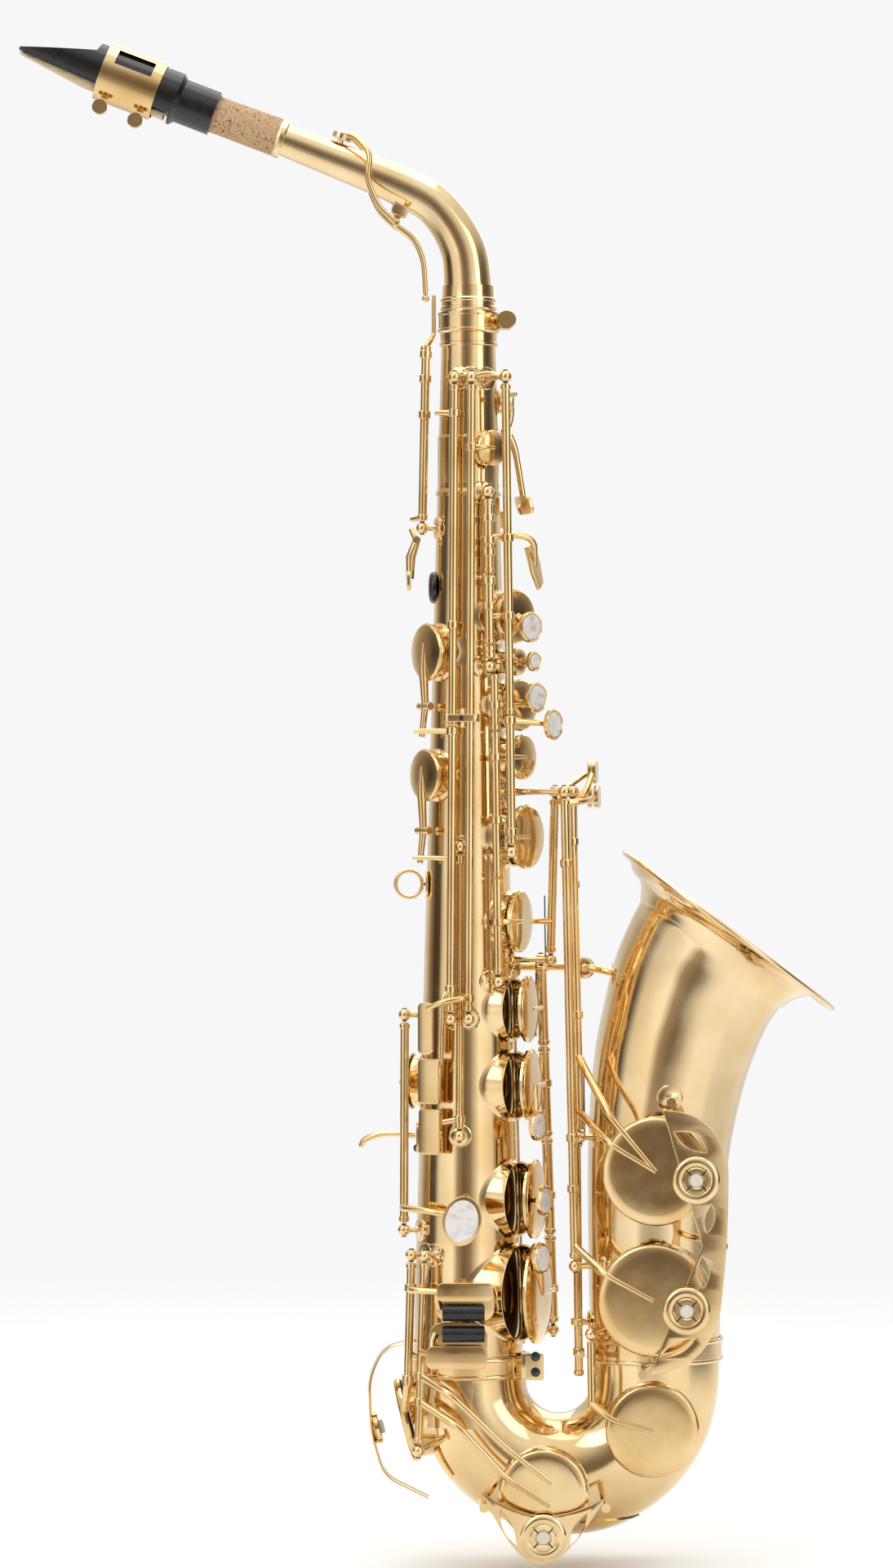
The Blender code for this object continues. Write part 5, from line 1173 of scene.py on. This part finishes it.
def make_little_finger_keys():
    levers = (("low_bb_key", "low_bb", -172.2, 0, 0), ("low_b_key", "low_b", -113.2, 1, 0),
              ("c_sharp_lever", "low_c_sharp", -228.2, 0, 1))
    for name, line, bottom, row, column in levers:
        touch, centre = table_touch(row, column)
        bend = Vector(TABLE_BENDS[name])
        shapes = [touch, arm([on_line(line, 37.6), bend, centre - Vector((0.4, 5.0, 0.0))], 1.4)]
        if name in LOW_HOLES:
            x, z, radius, height = LOW_HOLES[name]
            top_y = -(height + GAP + CUP_H - 0.9)
            shapes.append(cup((x, -height, z), (0, -1, 0), radius))
            for drop in (8.0, 34.0) if name == "low_b_key" else (6.0,):
                z_arm = bottom + drop
                start = on_line(line, z_arm)
                edge = Vector((x - radius * 0.86, top_y, z + (z_arm - z) * 0.5))
                shapes.append(arm([start, edge, (x, top_y, z)], 1.5))
            opened = -7.0
        else:
            # A finger that pushes the tail of the low C sharp cup key towards the bell
            shapes.append(arm([on_line(line, -217.0), (80.2, -21.6, -217.0)], 1.4))
            opened = 0.0
        key_on_line(name, line, 39.6, bottom, shapes, opened)
    # Low C sharp cup key, on a short hinge beside its cup
    x, z, radius, height = LOW_HOLES["c_sharp_cup"]
    top_y = -(height + GAP + CUP_H - 0.9)
    pivot_top, pivot_low = C_SHARP_HINGE
    shapes = [cylinder(pivot_low, pivot_top, ROD_R), cup((x, -height, z), (0, -1, 0), radius),
              arm([(84.4, -32.0, -238.0), (93.0, top_y, -245.0), (x, top_y, z)], 1.6),
              arm([(84.0, -30.4, -217.4), (84.0, -20.6, -217.4)], 1.4)]
    hinged("c_sharp_cup", shapes, pivot_top, pivot_top - pivot_low)
    # G sharp touch and lever, on a stub beside the table
    touch, centre = table_touch(1, 1)
    shapes = [touch, arm([on_line("g_sharp", 37.6), (75.0, 9.0, 46.0), centre], 1.3),
              arm([on_line("g_sharp", -17.0), (57.4, -12.6, -17.0)], 1.3)]
    key_on_line("g_sharp_lever", "g_sharp", 39.6, -31.8, shapes)

def make_right_little_finger_keys():
    x, z, radius, height = LOW_HOLES["low_c_key"]
    top_y = -(height + GAP + CUP_H - 0.9)
    plate = [block((23.0, -37.0, -216.4), (28.0, 10.6, 2.4), (0, -1, 0)),
             block((23.5, -32.4, -210.6), (27.0, 20.0, 1.4), (0, -1, 0)),
             swept(rounded([(12.0, -36.4, -215.0), (11.4, -34.0, -210.0), (13.0, -32.4, -206.0)]), 1.8)]
    arms = [arm([on_line("low_c", -226.0), (20.0, -37.4, -233.0), (46.0, top_y, -258.0),
                 (x + 4, top_y, z + 5)], 1.6), arm([on_line("low_c", -238.0), (24.0, -38.0, -248.0),
                                                    (46.0, top_y, -272.0), (x + 3, top_y, z - 5)], 1.6),
                                                    arm([on_line("low_c", -215.0), (12.0, -36.4, -215.6)],
                                                        1.6)]
    key_on_line("low_c_key", "low_c", -174.4, -257.2,
                [cup((x, -height, z), (0, -1, 0), radius), plate, *arms], -4.5)
    seat, way, radius = eb_seat()
    top = seat + way * (GAP + CUP_H - 0.9)
    plate = [block((26.0, -37.6, -186.4), (26.0, 8.6, 2.4), (0, -1, 0)),
             block((26.0, -32.4, -191.6), (27.0, 17.0, 1.4), (0, -1, 0)),
             swept(rounded([(14.0, -37.2, -187.0), (13.4, -34.6, -190.0), (14.4, -32.4, -194.0)]), 1.8)]
    shapes = [cup(seat, way, radius), plate, arm([on_line("eb", -228.0),
                                                  Vector((top.x, -17.0, top.z + 4.0)), top], 1.6),
                                                  arm([on_line("eb", -186.0), (1.4, -33.0, -186.0),
                                                       (14.0, -37.2, -186.2)], 1.6)]
    key_on_line("eb_key", "eb", -174.4, -231.2, shapes)
    for name, z_centre in (("eb_roller", -196.0), ("low_c_roller", -205.6)):
        ends = Vector((15.6, -37.2, z_centre)), Vector((35.0, -37.2, z_centre))
        centre = (ends[0] + ends[1]) / 2
        hinged(name, [cylinder(ends[0], ends[1], 3.8)], centre, (1, 0, 0), material="black_roller")

def main():
    make_body_tube()
    make_bow()
    make_bell()
    make_bands()
    make_bell_brace()
    make_low_b_guard()
    make_low_c_guard()
    make_eb_guard()
    make_bumpers()
    make_back_fittings()
    make_rod_guide()
    make_neck()
    make_neck_cork()
    make_neck_octave_key()
    make_mouthpiece()
    make_reed_and_ligature()
    make_neck_screw()
    make_left_stack()
    make_right_stack()
    make_g_sharp()
    make_side_keys()
    make_palm_keys()
    make_octave_mechanism()
    make_link_rod()
    make_upper_vent()
    make_little_finger_keys()
    make_right_little_finger_keys()

# ---------------------------------------------------------------- materials

def new_tree(name):
    material = bpy.data.materials.new(name)
    material.use_nodes = True
    tree = material.node_tree
    shader = tree.nodes["Principled BSDF"]
    place = tree.nodes.new("ShaderNodeTexCoord")
    return material, tree, shader, place.outputs["Object"]


def noise(tree, place, scale, detail=3.0, stretch=None):
    node = tree.nodes.new("ShaderNodeTexNoise")
    node.inputs["Scale"].default_value = scale
    node.inputs["Detail"].default_value = detail
    if stretch:
        mapping = tree.nodes.new("ShaderNodeMapping")
        mapping.inputs["Scale"].default_value = stretch
        tree.links.new(place, mapping.inputs["Vector"])
        place = mapping.outputs["Vector"]
    tree.links.new(place, node.inputs["Vector"])
    return node.outputs["Fac"]


def ramp(tree, factor, stops):
    node = tree.nodes.new("ShaderNodeValToRGB")
    band = node.color_ramp
    while len(band.elements) < len(stops):
        band.elements.new(0.5)
    for element, (position, colour) in zip(band.elements, stops):
        element.position = position
        element.color = (*colour, 1.0)
    tree.links.new(factor, node.inputs["Fac"])
    return node.outputs["Color"]


def spread(tree, factor, low, high):
    node = tree.nodes.new("ShaderNodeMapRange")
    node.inputs["From Min"].default_value = 0.35
    node.inputs["From Max"].default_value = 0.65
    node.inputs["To Min"].default_value = low
    node.inputs["To Max"].default_value = high
    tree.links.new(factor, node.inputs["Value"])
    return node.outputs["Result"]


def bump(tree, shader, factor, strength, distance):
    node = tree.nodes.new("ShaderNodeBump")
    node.inputs["Strength"].default_value = strength
    node.inputs["Distance"].default_value = distance
    tree.links.new(factor, node.inputs["Height"])
    tree.links.new(node.outputs["Normal"], shader.inputs["Normal"])


def brass(name, light, dark, smoothness, wave):
    """Polished brass under gold lacquer: slow tone changes, polish marks and a slightly wavy surface."""
    material, tree, shader, place = new_tree(name)
    shader.inputs["Metallic"].default_value = 1.0
    shader.inputs["Coat Weight"].default_value = 0.35
    shader.inputs["Coat Roughness"].default_value = 0.04
    tone = ramp(tree, noise(tree, place, 34.0, 4.0), [(0.35, dark), (0.62, light)])
    tree.links.new(tone, shader.inputs["Base Color"])
    polish = spread(tree, noise(tree, place, 160.0, 5.0), smoothness, smoothness + 0.07)
    tree.links.new(polish, shader.inputs["Roughness"])
    bump(tree, shader, noise(tree, place, 46.0, 2.0), 0.12, wave)
    return material


def plain(name, stops, rough, scale, strength=0.2, distance=0.0002, stretch=None, **values):
    material, tree, shader, place = new_tree(name)
    factor = noise(tree, place, scale, 6.0, stretch)
    tree.links.new(ramp(tree, factor, stops), shader.inputs["Base Color"])
    tree.links.new(spread(tree, factor, *rough), shader.inputs["Roughness"])
    bump(tree, shader, factor, strength, distance)
    for socket, value in values.items():
        shader.inputs[socket.replace("_", " ")].default_value = value
    return material


def make_materials():
    gold, deep = (0.86, 0.67, 0.38), (0.78, 0.55, 0.26)
    return {
        "lacquered_brass": brass("lacquered_brass", gold, deep, 0.07, 0.0006),
        "bell_brass": brass("bell_brass", (0.88, 0.7, 0.42), (0.8, 0.59, 0.31), 0.06, 0.0008),
        "neck_brass": brass("neck_brass", (0.88, 0.7, 0.42), (0.8, 0.59, 0.31), 0.06, 0.0005),
        "key_brass": brass("key_brass", (0.85, 0.64, 0.34), (0.74, 0.5, 0.21), 0.09, 0.0003),
        "hard_rubber": plain("hard_rubber", [(0.3, (0.006, 0.006, 0.007)), (0.7, (0.016, 0.015, 0.015))],
            (0.08, 0.17), 420.0, 0.05, 5e-05, Coat_Weight=0.3),
        "cane": plain("cane", [(0.3, (0.62, 0.46, 0.22)), (0.7, (0.83, 0.7, 0.44))], (0.42, 0.6), 500.0,
            0.25, 0.0001, (0.15, 1.0, 1.0)),
        "cork": plain("cork", [(0.32, (0.12, 0.06, 0.03)), (0.42, (0.5, 0.32, 0.17)),
            (0.66, (0.66, 0.45, 0.26))], (0.75, 0.95), 900.0, 0.6, 0.0003),
        # Black of the rollers, also used as painted shade for the slots of screw heads and bumper rings.
        "black_roller": plain("black_roller", [(0.3, (0.008, 0.008, 0.008)), (0.7, (0.02, 0.02, 0.02))],
            (0.2, 0.34), 600.0),
        "felt": plain("felt", [(0.3, (0.62, 0.56, 0.47)), (0.7, (0.86, 0.82, 0.74))], (0.9, 1.0), 2600.0,
            0.8, 0.0003, Sheen_Weight=0.4),
        "pearl": plain("pearl", [(0.34, (0.62, 0.55, 0.5)), (0.5, (0.86, 0.82, 0.78)),
            (0.66, (0.66, 0.7, 0.72))], (0.1, 0.22), 190.0, 0.04, 0.0001, Coat_Weight=0.5),
        # Near-black pad: dark leather and painted shade for the gap under each cup.
        "pad_leather": plain("pad_leather", [(0.3, (0.03, 0.018, 0.012)), (0.7, (0.075, 0.04, 0.024))],
            (0.45, 0.65), 1500.0, 0.5, 0.0002),
        "blue_steel": plain("blue_steel", [(0.3, (0.05, 0.05, 0.07)), (0.7, (0.12, 0.12, 0.16))],
            (0.18, 0.32), 800.0, Metallic=1.0),
    }


# ---------------------------------------------------------------- stage

def make_stage():
    """A pale paper floor that fades into the room."""
    low = CAD_BOX[0].z - 0.004
    reach = 3.0
    mesh = bpy.data.meshes.new("floor")
    mesh.from_pydata([(reach * cos(a), reach * sin(a), low) for a in ring_angles(64)], [], [tuple(range(64))])
    floor = bpy.data.objects.new("floor", mesh)
    bpy.context.scene.collection.objects.link(floor)
    paper = plain("floor_paper", [(0.3, (0.90, 0.90, 0.895)), (0.7, (0.93, 0.93, 0.925))], (0.8, 0.95), 3.0)
    tree = paper.node_tree
    length = tree.nodes.new("ShaderNodeVectorMath")
    length.operation = "LENGTH"
    tree.links.new(tree.nodes["Texture Coordinate"].outputs["Object"], length.inputs[0])
    fade = tree.nodes.new("ShaderNodeMapRange")
    fade.interpolation_type = "SMOOTHSTEP"
    fade.inputs["From Min"].default_value = 0.2
    fade.inputs["From Max"].default_value = 1.7
    fade.inputs["To Min"].default_value = 1.0
    fade.inputs["To Max"].default_value = 0.0
    tree.links.new(length.outputs["Value"], fade.inputs["Value"])
    tree.links.new(fade.outputs["Result"], tree.nodes["Principled BSDF"].inputs["Alpha"])
    mesh.materials.append(paper)


def node_math(tree, operation, a, b=None):
    node = tree.nodes.new("ShaderNodeMath")
    node.operation = operation
    for socket, value in zip(node.inputs, (a, b)):
        if isinstance(value, (int, float)):
            socket.default_value = value
        elif value is not None:
            tree.links.new(value, socket)
    return node.outputs[0]


def make_world():
    """A pale studio: what the polished brass sees is soft light panels with dark gaps between them."""
    world = bpy.data.worlds.new("studio")
    bpy.context.scene.world = world
    world.use_nodes = True
    tree = world.node_tree
    tree.nodes.clear()
    place = tree.nodes.new("ShaderNodeTexCoord").outputs["Generated"]
    parts = tree.nodes.new("ShaderNodeSeparateXYZ")
    tree.links.new(place, parts.inputs[0])
    x, y, z = parts.outputs
    # Bearing round the room: 0.5 is behind the camera, 0 and 1 are behind the object
    turn = node_math(tree, "ADD", node_math(tree, "DIVIDE",
                                            node_math(tree, "ARCTAN2", x,
                                                      node_math(tree, "MULTIPLY", y, -1.0)), 2 * pi), 0.5)
    grey = [(0.0, 0.80), (0.11, 0.75), (0.17, 0.30), (0.22, 0.06), (0.27, 0.09), (0.305, 0.95),
            (0.40, 1.25), (0.43, 0.42), (0.47, 0.16), (0.51, 0.30), (0.54, 0.72), (0.575, 1.30),
            (0.66, 0.95), (0.69, 0.12), (0.75, 0.04), (0.80, 0.22), (0.86, 0.75), (1.0, 0.80)]
    panels = ramp(tree, turn, [(p, (g, g * (0.96 if g > 0.5 else 0.80), g * (0.92 if g > 0.5 else 0.62)))
                               for p, g in grey])
    overhead = ramp(tree, node_math(tree, "ADD", node_math(tree, "MULTIPLY", z, 0.5), 0.5),
                    [(0.0, (0.66, 0.65, 0.63)), (0.40, (0.50, 0.48, 0.45)), (0.60, (0.34, 0.31, 0.28)),
                     (0.80, (0.95, 0.94, 0.92)), (1.0, (1.15, 1.14, 1.12))])
    mix = tree.nodes.new("ShaderNodeMix")
    mix.data_type = "RGBA"
    lift = node_math(tree, "MINIMUM", node_math(tree, "MULTIPLY", node_math(tree, "ABSOLUTE", z), 1.35), 1.0)
    tree.links.new(lift, mix.inputs[0])
    tree.links.new(panels, mix.inputs[6])
    tree.links.new(overhead, mix.inputs[7])
    room = tree.nodes.new("ShaderNodeBackground")
    tree.links.new(mix.outputs[2], room.inputs["Color"])
    room.inputs["Strength"].default_value = 1.0
    wall = tree.nodes.new("ShaderNodeBackground")
    wall.inputs["Color"].default_value = (0.93, 0.93, 0.93, 1.0)
    rays = tree.nodes.new("ShaderNodeLightPath")
    choose = tree.nodes.new("ShaderNodeMixShader")
    tree.links.new(rays.outputs["Is Camera Ray"], choose.inputs[0])
    tree.links.new(room.outputs[0], choose.inputs[1])
    tree.links.new(wall.outputs[0], choose.inputs[2])
    out = tree.nodes.new("ShaderNodeOutputWorld")
    tree.links.new(choose.outputs[0], out.inputs["Surface"])


def make_lights():
    for name, place, size, power in (("key", (-1.6, -1.9, 1.7), (1.2, 2.0), 12.0),
                                     ("fill", (1.9, -1.5, 0.9), (1.0, 1.8), 7.0),
                                     ("top", (0.0, 0.3, 2.4), (2.4, 2.4), 22.0),
                                     ("back", (0.4, 2.2, 1.2), (2.0, 1.6), 9.0)):
        data = bpy.data.lights.new(name, "AREA")
        data.shape = "RECTANGLE"
        data.size, data.size_y = size
        data.energy = power
        light = bpy.data.objects.new(name, data)
        bpy.context.scene.collection.objects.link(light)
        light.location = place
        light.rotation_euler = (Vector((0.03, 0.0, 0.0)) - Vector(place)).to_track_quat("-Z", "Y").to_euler()


def make_camera():
    """Level with the middle of the instrument, square to its right side."""
    data = bpy.data.cameras.new("camera")
    data.lens = 125.0
    frame_height = 0.7296
    camera = bpy.data.objects.new("camera", data)
    bpy.context.scene.collection.objects.link(camera)
    camera.location = (0.0175, -frame_height * data.lens / data.sensor_width, 0.0466)
    camera.rotation_euler = (pi / 2, 0.0, 0.0)
    bpy.context.scene.camera = camera
    bpy.context.scene.view_settings.view_transform = "Standard"


MATERIALS = make_materials()
main()
make_stage()
make_world()
make_lights()
make_camera()

bpy.context.view_layer.update()
